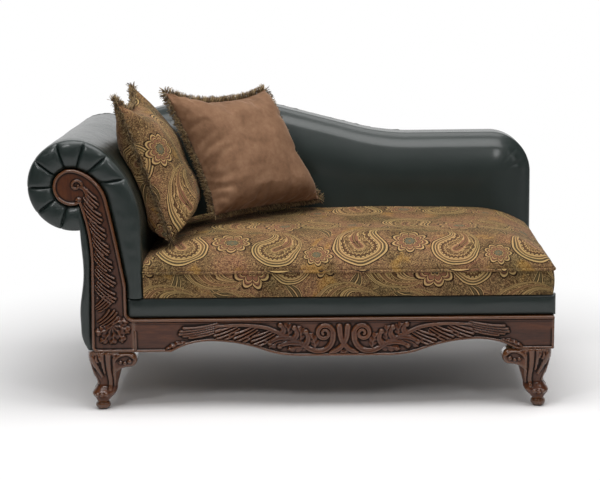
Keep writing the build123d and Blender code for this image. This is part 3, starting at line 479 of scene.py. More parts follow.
def arm_side(foot_z):
    """Inner side of the arm, from its foot up to the top of the roll."""
    outline, _ = arm_outline(foot_z)
    return outline[: int(np.argmax(outline[:, 1])) + 1]


def panel_sides():
    """Right and left side of the scroll panel and the round of its eye, each from the top down."""
    start = EYE + EYE_R * direction(EYE_START_DEG)
    elbow = SWELL + (SWELL_R - SCROLL_MARGIN) * direction(SCROLL_TURN_DEG)
    shoulder = tangent_arc(start, elbow, direction(EYE_START_DEG - 90))
    thigh = tangent_arc(elbow, (SHIN_X, SHIN_TOP_Z), shoulder[-1] - shoulder[-2])
    instep = arc((SHIN_X + INSTEP_R, APRON_TOP + INSTEP_R), INSTEP_R, 180, 270, 12)
    right = np.vstack((shoulder, thigh[1:], instep, [(PANEL_HIGH.x, SOLE_Z)]))
    calf_x = ROLL[0] + FLANK_INSET + CALF_INSET
    heel = arc((calf_x - HEEL_KICK + HEEL_R, SOLE_Z + HEEL_R), HEEL_R, 180, 270, 12)
    calf_top = np.array((calf_x, CALF_TOP_Z))
    nape = tangent_arc(calf_top, EYE_NECK, calf_top - heel[0])
    left = np.vstack((nape[::-1], heel))
    eye = arc(EYE, EYE_R, EYE_START_DEG, 360 + EYE_NECK_DEG, 90)
    return right, left, eye


# Meshes


class Shell:
    """Grids of points collected into one mesh."""

    def __init__(self):
        self.points = []
        self.faces = []
        self.places = []
        self.count = 0

    def add(self, points, faces, places=None):
        self.points.append(points)
        self.faces.extend((np.asarray(face) + self.count).tolist() for face in faces)
        self.places.append(points[:, :2] if places is None else places)
        self.count += len(points)

    def grid(self, points, places=None):
        """Sheet through a grid of points, with an optional grid of cloth coordinates."""
        rows, columns = points.shape[:2]
        index = np.arange(rows * columns).reshape(rows, columns)
        quads = np.stack((index[:-1, :-1], index[:-1, 1:], index[1:, 1:], index[1:, :-1]), -1)
        places = None if places is None else places.reshape(-1, 2)
        self.add(points.reshape(-1, 3), quads.reshape(-1, 4), places)

    def make(self, name, finish, merge=0.00005, outward=True):
        """One smooth object with its doubles merged."""
        mesh = bpy.data.meshes.new(name)
        mesh.from_pydata(np.vstack(self.points).tolist(), [], self.faces)
        lay_cloth(mesh, np.vstack(self.places))
        work = bmesh.new()
        work.from_mesh(mesh)
        bmesh.ops.remove_doubles(work, verts=work.verts, dist=merge)
        bmesh.ops.dissolve_degenerate(work, edges=work.edges, dist=merge / 5)
        if outward:
            bmesh.ops.recalc_face_normals(work, faces=work.faces)
        for face in work.faces:
            face.smooth = True
        work.to_mesh(mesh)
        work.free()
        mesh.materials.append(finish.material)
        return link(bpy.data.objects.new(name, mesh))


def link(obj):
    bpy.context.scene.collection.objects.link(obj)
    return obj


def read(items, name, width, kind=np.float32):
    """One property of the items of a mesh, with a row for each."""
    values = np.empty((len(items), width), kind)
    items.foreach_get(name, values.ravel())
    return values


def lay_cloth(mesh, places):
    """Store cloth coordinates for the points of a mesh."""
    layer = mesh.uv_layers.get("cloth") or mesh.uv_layers.new(name="cloth")
    corners = read(mesh.loops, "vertex_index", 1, np.int32)[:, 0]
    layer.data.foreach_set("uv", places[corners].astype(np.float32).ravel())


def wire(name, points, closed=False):
    """Object with one run of edges through points."""
    count = len(points)
    mesh = bpy.data.meshes.new(name)
    mesh.from_pydata(points.tolist(), [(i, (i + 1) % count) for i in range(count - (not closed))], [])
    return link(bpy.data.objects.new(name, mesh))


def points_of(mesh):
    return read(mesh.vertices, "co", 3).astype(float)


def move_points(mesh, points):
    mesh.vertices.foreach_set("co", points.astype(np.float32).ravel())
    mesh.update()


def settle(obj, body, slot, *nodes):
    """Give a finished piece its body and hide the solids that it stands for. Its finish slot is not used.
    """
    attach(obj, body)
    if nodes:
        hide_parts(*nodes)
    return obj


def open_sheet(name, finish, grids, inner, merge=0.00005):
    """Sheet through grids of points, turned so that its faces point away from an inner point."""
    shell = Shell()
    for points in grids:
        shell.grid(points)
    obj = shell.make(name, finish, merge, outward=False)
    inner = Vector(inner)
    facing = sum((face.center - inner).dot(face.normal) * face.area for face in obj.data.polygons)
    if facing < 0:
        obj.data.flip_normals()
    return obj


def thicken(obj, depth):
    solidify = obj.modifiers.new("thickness", "SOLIDIFY")
    solidify.thickness = depth
    solidify.offset = -1.0
    return obj


def edge_distance(points, outline):
    """Distance of points from a closed outline, positive inside it."""
    closed = np.vstack((outline, outline[:1]))
    nearest = np.full(len(points), np.inf)
    crossings = np.zeros(len(points), bool)
    for start, end in zip(closed, closed[1:]):
        step = end - start
        size = step @ step
        if size < 1e-14:
            continue
        share = np.clip((points - start) @ step / size, 0, 1)
        gap = points - start - share[:, None] * step
        nearest = np.minimum(nearest, (gap**2).sum(1))
        if start[1] != end[1]:
            spans = (start[1] > points[:, 1]) != (end[1] > points[:, 1])
            cross_x = start[0] + (points[:, 1] - start[1]) * step[0] / step[1]
            crossings ^= spans & (points[:, 0] < cross_x)
    return np.where(crossings, 1, -1) * np.sqrt(nearest)


def flat_mesh(outline, step):
    """Points, faces and boundary loop of a fine mesh that fills an outline."""
    low = outline.min(0) - 2 * step
    counts = np.ceil((outline.max(0) + 2 * step - low) / step).astype(int) + 1
    xs = low[0] + step * np.arange(counts[0])
    zs = low[1] + step * np.arange(counts[1])
    nodes = np.stack(np.meshgrid(xs, zs, indexing="ij"), -1)
    depth = edge_distance(nodes.reshape(-1, 2), outline).reshape(nodes.shape[:2])
    tiny = 0.15 * step
    depth = np.where(np.abs(depth) < tiny, np.where(depth < 0, -tiny, tiny), depth)
    inside = depth > 0
    index = np.full(inside.shape, -1)
    index[inside] = np.arange(inside.sum())
    points = list(nodes[inside])
    corners = np.stack((inside[:-1, :-1], inside[1:, :-1], inside[1:, 1:], inside[:-1, 1:]), -1)
    full = corners.all(-1)
    cell = np.stack((index[:-1, :-1], index[1:, :-1], index[1:, 1:], index[:-1, 1:]), -1)
    faces = [list(face) for face in cell[full]]
    crossing = {}
    after = {}

    def cut(first, second):
        key = (min(first, second), max(first, second))
        if key not in crossing:
            a, b = depth[key[0]], depth[key[1]]
            crossing[key] = len(points)
            points.append(nodes[key[0]] + (nodes[key[1]] - nodes[key[0]]) * a / (a - b))
        return crossing[key]

    for i, j in np.argwhere(corners.any(-1) & ~full):
        ring = [(i, j), (i + 1, j), (i + 1, j + 1), (i, j + 1)]
        face = []
        leaving = entering = None
        for here, following in zip(ring, ring[1:] + ring[:1]):
            if inside[here]:
                face.append(index[here])
            if inside[here] != inside[following]:
                face.append(cut(here, following))
                if inside[here]:
                    leaving = face[-1]
                else:
                    entering = face[-1]
        faces.append(face)
        after[leaving] = entering
    start = next(iter(after))
    loop = [start]
    while after[loop[-1]] != start:
        loop.append(after[loop[-1]])
    return np.array(points), faces, loop


def relief(name, finish, outline, step, heights, back_y, front_y):
    """Plate with a worked face: heights(points, edge distance) stand out from front_y, away from back_y."""
    points, faces, loop = flat_mesh(outline, step)
    depth = np.maximum(edge_distance(points, outline), 0)
    way = math.copysign(1, front_y - back_y)
    front = np.column_stack((points[:, 0], front_y + way * heights(points, depth), points[:, 1]))
    rim = points[loop]
    rear = np.column_stack((rim[:, 0], np.full(len(rim), back_y), rim[:, 1]))
    first = len(front)
    count = len(loop)
    walls = [[loop[i], loop[(i + 1) % count], first + (i + 1) % count, first + i] for i in range(count)]
    shell = Shell()
    shell.add(np.vstack((front, rear)), faces + walls + [list(range(first, first + count))])
    return shell.make(name, finish, merge=step / 50)


def mark_creases_and_ridges(obj, rounds=24):
    """Store how far each point stands out from those round it, for glaze with painted shade in creases and
    wear with painted highlights on ridges.
    """
    mesh = obj.data
    here = points_of(mesh)
    count = len(here)
    normals = read(mesh.vertices, "normal", 3)
    starts, ends = read(mesh.edges, "vertices", 2, np.int32).T
    starts, ends = np.concatenate((starts, ends)), np.concatenate((ends, starts))
    links = np.bincount(starts, minlength=count)[:, None]
    smooth = here
    for _ in range(rounds):
        sums = [np.bincount(starts, smooth[ends, axis], count) for axis in range(3)]
        smooth = 0.5 * smooth + 0.5 * np.stack(sums, -1) / links
    layer = mesh.attributes.new("carved", "FLOAT", "POINT")
    layer.data.foreach_set("value", ((here - smooth) * normals).sum(1).astype(np.float32))


def show_wood(obj, *nodes):
    """Measure the creases and ridges of a carved piece, for its glaze, painted shade and painted
    highlights, and give it to the chaise.
    """
    mark_creases_and_ridges(obj)
    return settle(obj, "chaise", "carved_wood", *nodes)


# Carving


def along(points, path):
    """Distance from a path, side of it, and share of its length, for each point."""
    run = lengths(path)
    tangent = np.gradient(path, axis=0)
    tangent /= np.linalg.norm(tangent, axis=1)[:, None]
    gap = points[:, None] - path
    nearest = np.argmin((gap**2).sum(-1), axis=1)
    offset = points - path[nearest]
    across = tangent[nearest, 0] * offset[:, 1] - tangent[nearest, 1] * offset[:, 0]
    ahead = (offset * tangent[nearest]).sum(-1)
    share = (run[nearest] + ahead) / run[-1]
    ends = (share < 0) | (share > 1)
    distance = np.where(ends, np.linalg.norm(offset, axis=1), np.abs(across))
    return distance, np.sign(across), np.clip(share, 0, 1)


class Carving:
    """Heights of a carved face over its points, built up stroke by stroke."""

    def __init__(self, points, ground=0.0):
        self.points = points
        self.height = np.full(len(points), ground)

    def near(self, path, reach):
        low = path.min(0) - reach
        high = path.max(0) + reach
        return np.flatnonzero(((self.points > low) & (self.points < high)).all(1))

    def lift(self, chosen, height):
        self.height[chosen] = np.maximum(self.height[chosen], height)

    def stem(self, path, widths, rise, groove=0.0, climb=0.0):
        """Rounded band along a path, with a width at each end, a groove and a climb to its far end."""
        chosen = self.near(path, max(widths))
        distance, _, share = along(self.points[chosen], path)
        half = (widths[0] + (widths[1] - widths[0]) * share) / 2
        crown = np.sqrt(np.clip(1 - (distance / half) ** 2, 0, None))
        lip = 1 - groove * np.exp(-((distance / (0.42 * half)) ** 2))
        height = rise * crown * lip - climb * (1 - share)
        self.lift(chosen, np.where(distance < half, height, -1.0))

    def tuft(self, root, tip, spread, count, width, rise, bow=0.10):
        """Fan of bent flutes from a root to a tip; spread leads from the first flute to the last."""
        root, tip, spread = (np.asarray(value, float) for value in (root, tip, spread))
        way = tip - root
        side = np.array((way[1], -way[0]))
        for place in np.linspace(-0.5, 0.5, count):
            start = root + 0.75 * place * spread
            end = tip + place * spread - 0.5 * abs(place) ** 1.5 * way
            bend = (start + end) / 2 + bow * side
            self.stem(bezier(start, bend, end), (0.75 * width, width), rise, 0.0, 0.45 * rise)

    def score(self, path, width, depth):
        """Narrow line cut along a path."""
        chosen = self.near(path, 3 * width)
        distance, _, _ = along(self.points[chosen], path)
        self.height[chosen] -= depth * np.exp(-((distance / width) ** 2))

    def leaf(self, root, bend, tip, width, rise, lobes=5):
        """Acanthus leaf along a bent rib, with lobes and veins that sweep towards its tip."""
        spine = bezier(root, bend, tip)
        chosen = self.near(spine, width)
        distance, side, share = along(self.points[chosen], spine)
        size = lengths(spine)[-1]
        swept = np.clip(share - 0.55 * distance / size, 0, 1)
        full = np.sin(np.pi * np.clip(swept, 0.02, 0.98) ** 0.8) ** 0.6
        scallop = np.abs(np.sin(np.pi * lobes * swept + 0.5 * side))
        half = 0.5 * width * full * (0.66 + 0.34 * scallop)
        cover = np.clip(1 - (distance / np.maximum(half, 1e-5)) ** 2, 0, None)
        veins = 0.62 + 0.38 * scallop
        rib = 0.45 * np.exp(-((distance / (0.07 * width)) ** 2))
        shape = cover**0.45 * (veins * (0.62 + 0.38 * share) + rib)
        self.lift(chosen, np.where(cover > 0, rise * shape, -1.0))

    def bud(self, centre, radius, rise):
        """Small round bead."""
        gap = np.linalg.norm(self.points - np.asarray(centre), axis=1) / radius
        self.height = np.maximum(self.height, rise * np.sqrt(np.clip(1 - gap**2, 0, None)))


def bead_profile(depth, width, rise):
    """Half-round moulding along an edge."""
    half = width / 2
    crown = np.sqrt(np.clip(1 - ((depth - half) / half) ** 2, 0, None))
    return np.where(depth < width, rise * (0.25 + 0.75 * crown), 0.0)


# Finishes


def leather_finish():
    finish = Finish("green_black_leather", Coat_Weight=0.45, Coat_Roughness=0.20, IOR=1.4)
    where = finish.place()
    cloud = finish.noise(where, 14.0, 4.0)
    creases = finish.cells(where, 520.0, "DISTANCE_TO_EDGE")
    pores = finish.noise(where, 1700.0, 2.0)
    grain = creases.window(0.0, 0.22)
    base = finish.mix(cloud, (0.0050, 0.0110, 0.0095), (0.0095, 0.0180, 0.0150))
    return finish.surface(
        finish.mix(0.25 - grain * 0.25, base, (0.003, 0.005, 0.005)),
        0.36 + (cloud - 0.5) * 0.14 + pores * 0.05,
        finish.bump(grain * 0.7 + pores * 0.3, 0.00035, 0.5),
    )


def mahogany_finish(name, stretch):
    """Dark red-brown glazed wood, with painted shade in its creases and painted highlights on its ridges;
    stretch runs the grain along the long way of the piece.
    """
    finish = Finish(name, Coat_Roughness=0.07, IOR=1.25)
    where = finish.place(stretch)
    figure = finish.noise(where, 26.0, 5.0, 0.6, 0.6)
    streaks = finish.noise(where, 150.0, 3.0, 0.65)
    pores = finish.noise(where, 420.0, 2.0, 0.7)
    dark, middle, light = (0.025, 0.0064, 0.0020), (0.060, 0.0155, 0.0040), (0.105, 0.0300, 0.0076)
    wood = finish.ramp(figure * 0.65 + streaks * 0.35, ((0.28, dark), (0.48, middle), (0.66, light)))
    carved = finish.attribute("carved")
    # Creases and hollows get glaze together with painted shade; ridges get wear together with a painted
    # highlight
    hollow = 1.0 - carved.window(-0.0013, 0.0003)
    wear_and_highlight = carved.window(0.0003, 0.0016)
    # Painted shade with glaze: creases and hollows are darkened almost to black
    wood = finish.mix(hollow * 0.94, wood, (0.0050, 0.0024, 0.0014))
    finish.feed("Coat Weight", 0.50 - hollow * 0.45 + wear_and_highlight * 0.45)
    # Ridges are mixed towards a lighter red-brown: wear together with a painted highlight
    return finish.surface(
        finish.mix(wear_and_highlight * 0.45, wood, (0.130, 0.054, 0.020)),
        0.24 + hollow * 0.45 + streaks * 0.10,
        finish.bump(streaks * 0.5 + pores * 0.5, 0.0002, 0.35),
    )


# Repeat of the patterned cloth, and its motifs as (across, up, size, turn in degrees, hand)
CLOTH_REPEAT = (0.60, 0.52)
TEARDROPS = (
    (0.13, 0.12, 0.096, 28.0, 1.0),
    (0.45, 0.10, 0.084, -52.0, -1.0),
    (0.30, 0.385, 0.092, 165.0, -1.0),
    (0.60, 0.335, 0.072, 80.0, 1.0),
)
FLOWERS = (
    (0.30, 0.150, 0.072, 10.0, 1.0),
    (0.475, 0.325, 0.076, 25.0, 1.0),
    (0.110, 0.350, 0.066, 0.0, 1.0),
    (0.590, 0.070, 0.052, 15.0, 1.0),
)
SPRIGS = (
    (0.215, 0.265, 0.050, 60.0, 1.0),
    (0.365, 0.235, 0.046, -20.0, 1.0),
    (0.020, 0.235, 0.052, 120.0, 1.0),
    (0.400, 0.475, 0.050, 35.0, 1.0),
    (0.200, 0.465, 0.046, -60.0, 1.0),
)
FLOWER_PETALS = 9
TEARDROP_TEETH = 11.0

# Threads of the weave, in radians a metre
WEFT_PITCH = 5200.0
WARP_PITCH = 4300.0

GOLD = (0.43, 0.232, 0.056)
PALE = (0.50, 0.345, 0.160)
TAN = (0.235, 0.142, 0.064)
DUSTY = (0.200, 0.113, 0.062)
BROWN = (0.110, 0.058, 0.027)
DARK = (0.026, 0.013, 0.007)
ROSE = (0.250, 0.120, 0.072)
SAGE = (0.145, 0.135, 0.092)
OLIVE = (0.112, 0.082, 0.042)

# Coloured lines from the middle of a motif outward, as shares of a span that reaches past its outline
SPRIG_SPAN = 1.2
TEARDROP_SPAN = 1.25
FLOWER_SPAN = 1.15
SPRIG_LINES = ((0.0, PALE), (0.08, DARK), (0.20, OLIVE), (0.52, DARK), (0.64, PALE), (0.76, DARK))
TEARDROP_LINES = (
    (0.00, TAN), (0.07, DARK), (0.10, ROSE), (0.17, PALE), (0.20, BROWN),
    (0.36, DARK), (0.38, PALE), (0.415, BROWN), (0.50, DARK), (0.52, PALE),
    (0.565, TAN), (0.605, DARK), (0.622, PALE), (0.66, OLIVE), (0.695, DARK),
    (0.712, PALE), (0.765, DARK),
)
FLOWER_LINES = (
    (0.00, TAN), (0.06, SAGE), (0.23, DARK), (0.27, PALE), (0.305, DUSTY),
    (0.36, ROSE), (0.49, DARK), (0.52, PALE), (0.57, ROSE), (0.63, DARK),
    (0.66, DUSTY), (0.70, PALE), (0.785, DARK),
)


def motif_place(u, v, motif):
    """Coordinates about one motif of the repeat, in its own size and turn."""
    across, up, size, turn_deg, hand = motif
    cosine, sine = direction(turn_deg).tolist()
    x = (((u - across) / CLOTH_REPEAT[0] + 0.5).fract() - 0.5) * (CLOTH_REPEAT[0] / size)
    y = (((v - up) / CLOTH_REPEAT[1] + 0.5).fract() - 0.5) * (CLOTH_REPEAT[1] / size)
    return (x * cosine + y * sine) * hand, y * cosine - x * sine


def teardrop(u, v, motif):
    """Hooked teardrop: 0 in the middle of its bulb and 1 on its outline."""
    x, y = motif_place(u, v, motif)
    swirl = (x * x + y * y) * 0.36
    cosine = swirl.cosine()
    sine = swirl.sine()
    across = x * cosine - y * sine
    up = x * sine + y * cosine
    share = (up / 2.3).higher(0.0).lower(1.0)
    width = ((1.0 - share * share) * (1.0 - share * 0.5)).higher(0.02)
    below = up.lower(0.0)
    across = across / width
    return (across * across + below * below).root(), across.angle(up)


def flower(u, v, motif):
    """Scalloped flower: 0 in its middle and 1 on its outline, and how far a point is into a petal."""
    x, y = motif_place(u, v, motif)
    petal = abs((y.angle(x) * (FLOWER_PETALS / 2)).sine())
    return (x * x + y * y).root() / (petal * 0.26 + 0.74), petal


def sprig(u, v, motif):
    """Small pointed leaf: 0 along its rib and 1 on its outline."""
    x, y = motif_place(u, v, motif)
    bent = y - x * x * 0.35
    width = (1.0 - x * x).higher(0.02) * 0.36
    return abs(bent) / width


def nearest_motif(u, v, shape, motifs):
    """The lowest first measure among motifs of a shape, and the second measure of that motif."""
    nearest, measure = shape(u, v, motifs[0])
    for motif in motifs[1:]:
        other, other_measure = shape(u, v, motif)
        measure = measure + (other_measure - measure) * other.below(nearest)
        nearest = nearest.lower(other)
    return nearest, measure


def paisley_finish():
    finish = Finish("paisley_cloth", Sheen_Weight=0.03, Sheen_Roughness=0.5, Specular_IOR_Level=0.1)
    u, v, where = finish.cloth_place()
    sway = (finish.noise(where, 9.0, 1.0) - 0.5) * 0.022
    pu = u + sway
    pv = v - sway

    # Ground: broad patches of colour, a few of them gold, under speckles and fine curling lines
    patch = finish.noise(where, 5.2, 2.0)
    other = finish.noise(where, 9.5, 2.0, 0.5, 0.8)
    tones = ((0.30, OLIVE), (0.40, BROWN), (0.50, DUSTY), (0.62, ROSE), (0.74, DUSTY))
    ground = finish.ramp(patch, tones)
    ground = finish.mix(other.window(0.60, 0.70) * 0.8, ground, GOLD)
    ground = finish.mix((1.0 - other.window(0.32, 0.44)) * 0.6, ground, OLIVE)
    scribble = finish.noise(where, 58.0, 2.0, 0.5, 1.8)
    line = abs((scribble * 4.5).fract() - 0.5) * 2.0
    ground = finish.mix(line.window(0.66, 0.86) * 0.72, ground, PALE)
    ground = finish.mix((1.0 - line.window(0.14, 0.32)) * 0.75, ground, DARK)
    speckle = finish.noise(where, 330.0, 2.0, 0.6)
    ground = finish.mix(speckle.window(0.52, 0.62) * 0.42, ground, TAN)
    ground = finish.mix((1.0 - speckle.window(0.36, 0.46)) * 0.5, ground, DARK)

    # Sprigs of small leaves
    leafy = sprig(pu, pv, SPRIGS[0])
    for motif in SPRIGS[1:]:
        leafy = leafy.lower(sprig(pu, pv, motif))
    leaves = finish.ramp(leafy / SPRIG_SPAN, SPRIG_LINES, "CONSTANT")
    cloth = finish.mix(leafy.below(1.0), ground, leaves)

    # Hooked teardrops, ringed with lines
    drop, around = nearest_motif(pu, pv, teardrop, TEARDROPS)
    teeth = abs((around * TEARDROP_TEETH).sine())
    inner = drop.below(0.64)
    ringed = drop + inner * teeth * 0.075
    bands = finish.ramp(ringed / TEARDROP_SPAN, TEARDROP_LINES, "CONSTANT")
    fill = finish.mix(line.window(0.55, 0.80) * 0.8, bands, PALE)
    bands = finish.mix(ringed.above(0.255) * ringed.below(0.45), bands, fill)
    cloth = finish.mix(drop.below(1.0), cloth, bands)

    # Scalloped flowers with a sage heart
    bloom, petal = nearest_motif(pu, pv, flower, FLOWERS)
    rings = finish.ramp(bloom / FLOWER_SPAN, FLOWER_LINES, "CONSTANT")
    split = (1.0 - petal.window(0.06, 0.16)) * bloom.above(0.36)
    rings = finish.mix(split * 0.85, rings, DARK)
    cloth = finish.mix(bloom.below(1.0), cloth, rings)

    # Woven surface: ribs of weft, slubs, and worn patches of colour over the motifs
    tint = finish.mix(patch.window(0.35, 0.65), (0.90, 0.90, 0.80), (1.06, 0.98, 0.94))
    cloth = finish.mix(1.0, cloth, tint, "MULTIPLY")
    drawn = finish.node("ShaderNodeMapping", inputs={"Vector": where, "Scale": (110.0, 420.0, 1.0)})
    slub = finish.noise(drawn, 1.0)
    rib = (v * WEFT_PITCH).sine() * 0.5 + 0.5
    warp = (u * WARP_PITCH).sine() * 0.5 + 0.5
    weave = slub * 0.55 + rib * 0.25 + warp * 0.20
    depths = ((0.25, (0.46, 0.44, 0.41)), (0.5, (0.80, 0.80, 0.80)), (0.72, (1.09, 1.08, 1.04)))
    shade = finish.ramp(weave, depths)
    return finish.surface(
        finish.mix(1.0, cloth, shade, "MULTIPLY"),
        0.88 - weave * 0.2,
        finish.bump(weave * 0.6 + line.window(0.4, 0.8) * 0.4, 0.0006, 0.55),
    )


def suede_finish():
    finish = Finish("brown_suede", Sheen_Weight=0.35, Sheen_Roughness=0.35, Specular_IOR_Level=0.2)
    finish.shader.inputs["Sheen Tint"].default_value = (0.75, 0.58, 0.45, 1.0)
    where = finish.place()
    cloud = finish.noise(where, 16.0, 4.0, 0.6)
    nap = finish.noise(where, 900.0, 2.0)
    brushed = finish.noise(where, 60.0, 3.0, 0.55, 0.5)
    base = finish.ramp(
        cloud * 0.6 + brushed * 0.25 + nap * 0.15,
        ((0.34, (0.125, 0.064, 0.034)), (0.52, (0.185, 0.100, 0.056)), (0.68, (0.245, 0.140, 0.082))),
    )
    return finish.surface(
        base,
        0.82 + brushed * 0.12,
        finish.bump(nap * 0.7 + brushed * 0.3, 0.0004, 0.4),
    )


def yarn_finish():
    finish = Finish("fringe_yarn", Sheen_Weight=0.1, Specular_IOR_Level=0.3)
    tone = finish.attribute("strand_tone")
    twist = finish.noise(finish.place(), 700.0, 2.0)
    colours = (
        (0.00, (0.035, 0.018, 0.008)), (0.26, (0.085, 0.045, 0.018)), (0.50, (0.17, 0.100, 0.040)),
        (0.72, (0.30, 0.195, 0.080)), (0.90, (0.43, 0.31, 0.150)),
    )
    colour = finish.ramp(tone, colours)
    return finish.surface(finish.mix(twist * 0.5, colour, (0.02, 0.011, 0.005)), 0.70 + twist * 0.2)


def board_finish(name, pale, deep):
    """Unfinished frame timber."""
    finish = Finish(name, IOR=1.4)
    where = finish.place((1.0, 1.0, 9.0))
    figure = finish.noise(where, 18.0, 5.0, 0.6, 0.7)
    fibre = finish.noise(finish.place((4.0, 4.0, 60.0)), 14.0, 2.0)
    return finish.surface(
        finish.mix(figure * 0.7 + fibre * 0.3, pale, deep),
        0.68 + fibre * 0.2,
        finish.bump(fibre, 0.0002, 0.4),
    )


def scuffed_finish(name, dark, light, scale, wear, roughness, **constants):
    """Hard surface with fine scuffs, such as spring steel or the plastic of a glide."""
    finish = Finish(name, **constants)
    scuff = finish.noise(finish.place(), scale, 4.0, wear)
    return finish.surface(
        finish.mix(scuff, dark, light),
        roughness + scuff * 0.25,
        finish.bump(scuff, 0.0001, 0.3),
    )


def mat_finish(name, dark, light, scale):
    """Plain open cloth or foam with a fine even texture."""
    finish = Finish(name, Specular_IOR_Level=0.2)
    where = finish.place()
    pores = finish.cells(where, scale)
    cloud = finish.noise(where, 20.0, 3.0)
    return finish.surface(
        finish.mix(pores * 0.6 + cloud * 0.4, dark, light),
        0.85 + cloud * 0.1,
        finish.bump(pores, 0.0006, 0.5),
    )


LEATHER = leather_finish()
PANEL_WOOD = mahogany_finish("mahogany_upright", (1.0, 1.0, 0.16))
APRON_WOOD = mahogany_finish("mahogany_long", (0.16, 1.0, 1.0))
PAISLEY = paisley_finish()
SUEDE = suede_finish()
YARN = yarn_finish()
FOAM = mat_finish("padding_foam", (0.50, 0.44, 0.26), (0.68, 0.61, 0.40), 420.0)


# Rolled arm


def arm_sheet(name, finish, flat, y, thickness, slot, node):
    """Sheet round the arm through rows of points (x, z), each at its depth y."""
    points = np.stack((flat[..., 0], y, flat[..., 1]), -1)
    sheet = open_sheet(name, finish, [points], (ROLL[0], 0, ROLL[1]))
    return settle(thicken(sheet, thickness), "chaise", slot, node)


def arm_cover():
    """Leather over the roll, drawn smooth, with slow waves where it is pulled over the padding."""
    outline, _ = arm_outline(BAND_TOP)
    path = even(outline, 0.007)
    normal = right_of(np.gradient(path, axis=0))
    depths = np.linspace(FRAME_FRONT, FRAME_REAR, 110)
    y, s = np.meshgrid(depths, np.arange(len(path)), indexing="ij")
    places = np.stack((lengths(path)[s], y), -1)
    waves = 0.0013 * ripples(places * (1.0, 0.55), 0.16, 3) + 0.0006 * ripples(places, 0.05, 4)
    seam = np.exp(-((np.minimum(y - FRAME_FRONT, FRAME_REAR - y) / SEAM_WIDTH) ** 2))
    puff = waves * (1 - seam) - SEAM_SINK * seam
    flat = path[s] + normal[s] * puff[..., None]
    return arm_sheet("arm_cover", LEATHER, flat, y, LEATHER_THICK, "leather", "arm_leather")


def arm_padding():
    """Foam under the leather of the arm, drawn in at the foot of the flank with it."""
    outline, _ = arm_outline(BAND_TOP)
    path = even(outline, 0.012)
    under = path - ARM_PADDING_INSET * right_of(np.gradient(path, axis=0))
    y = np.array((FRAME_FRONT, FRAME_REAR))[:, None] * np.ones(len(under))
    return arm_sheet("arm_padding", FOAM, np.stack((under, under)), y, FOAM_THICK, "foam", "arm_foam")


def pleated_border():
    """Puffed leather ring between the arm's edge and the scroll panel, with knife pleats round the eye."""
    outer, flank_run = arm_outline(BAND_TOP)
    right, left, eye = panel_sides()
    right = right[right[:, 1] >= BAND_TOP]
    right = np.vstack((right, [(SHIN_X, BAND_TOP)]))
    left = left[left[:, 1] >= FRAME_Z]
    inner = np.vstack((right[::-1], eye[1:], left[1:]))
    outer_run = lengths(outer)
    inner_run = lengths(inner)

    def spoke_runs(path, run):
        turned = np.unwrap(np.arctan2(path[:, 1] - EYE[1], path[:, 0] - EYE[0]))
        upto = int(np.argmax(turned))
        return np.interp(np.radians(PLEAT_ANGLES_DEG), turned[: upto + 1], run[: upto + 1])

    pleats = spoke_runs(outer, outer_run)
    neck_run = inner_run[len(right) + len(eye) - 2]
    outer_keys = np.concatenate(([0.0], pleats, [flank_run, outer_run[-1]]))
    inner_keys = np.concatenate(([0.0], spoke_runs(inner, inner_run), [neck_run, inner_run[-1]]))
    run = np.unique(np.concatenate((np.arange(0, outer_run[-1], 0.003), pleats, [outer_run[-1]])))
    outside = at(outer, run)
    inside = at(inner, np.interp(run, outer_keys, inner_keys))
    breadth = np.linalg.norm(inside - outside, axis=1)

    # Section of the ring from its outer seam to the panel, then the pleats' creases, teeth and bellies
    turn = np.linspace(0, math.pi, 30)
    inward = (1 - np.cos(turn)) / 2
    forward = np.sin(turn) ** 0.55
    forward[-1] = 0.12
    gap = run[:, None] - pleats
    nearest = np.argmin(np.abs(gap), axis=1)
    offset = gap[np.arange(len(run)), nearest][:, None]
    squeeze = 1 - 0.62 * inward
    crease = np.exp(-np.abs(offset) * squeeze / PLEAT_CREASE)
    share = np.interp(run, outer_keys[1:-1], np.arange(len(outer_keys) - 2))
    pleated = ease(pleats[0] - 0.05, pleats[0], run) * (1 - ease(pleats[-1], flank_run, run))
    tooth = ((share % 1.0) - 0.5) * pleated
    belly = np.sin(math.pi * (share % 1.0)) * pleated
    depth = np.minimum(FRAME_FRONT - Y_FRONT, 0.72 * breadth)[:, None]
    fade = ease(0.02, 0.25, inward) * (1 - 0.35 * inward)
    push = depth * forward * (1 + 0.05 * belly[:, None] - 0.36 * crease * fade)
    push += PLEAT_STEP * tooth[:, None] * forward
    proud = -PLEAT_DRAW * np.sin(2 * turn) * (turn < math.pi / 2) * (1 - crease)
    drawn = PLEAT_DRAW * crease * (1 - inward) * np.sin(turn)
    reach = inward * breadth[:, None] + proud + drawn
    way = (inside - outside) / breadth[:, None]
    flat = outside[:, None] + way[:, None] * reach[..., None]
    y = FRAME_FRONT - push
    field = np.stack((flat[..., 0], y, flat[..., 1]), -1)
    field[..., 1] += 0.0004 * ripples(field, 0.035, 8) * forward
    border = open_sheet("pleated_border", LEATHER, [field], (EYE[0], 0.5, EYE[1]))
    return settle(thicken(border, BORDER_THICK), "chaise", "leather", "arm_pleated_border")


def rear_plate(name, node, outline, step, swell_width, wave, wavelength, seed):
    """Leather drawn over the rear, with a rounded edge, a slight swell and slow waves."""

    def heights(points, depth):
        swell = PLATE_SWELL * ease(0.0, swell_width, depth)
        return round_over(depth, PLATE_EDGE_R) + swell + wave * ripples(points, wavelength, seed)

    front_y = Y_REAR - PLATE_EDGE_R - PLATE_SWELL
    plate = relief(name, LEATHER, outline, step, heights, FRAME_REAR, front_y)
    return settle(plate, "chaise", "leather", node)


def rear_cover():
    outline, _ = arm_outline(FRAME_Z)
    outline = even(outline, 0.008)
    return rear_plate("arm_rear_panel", "arm_rear_cover", outline, 0.009, 0.07, 0.0006, 0.12, 11)


# Carved scroll panel


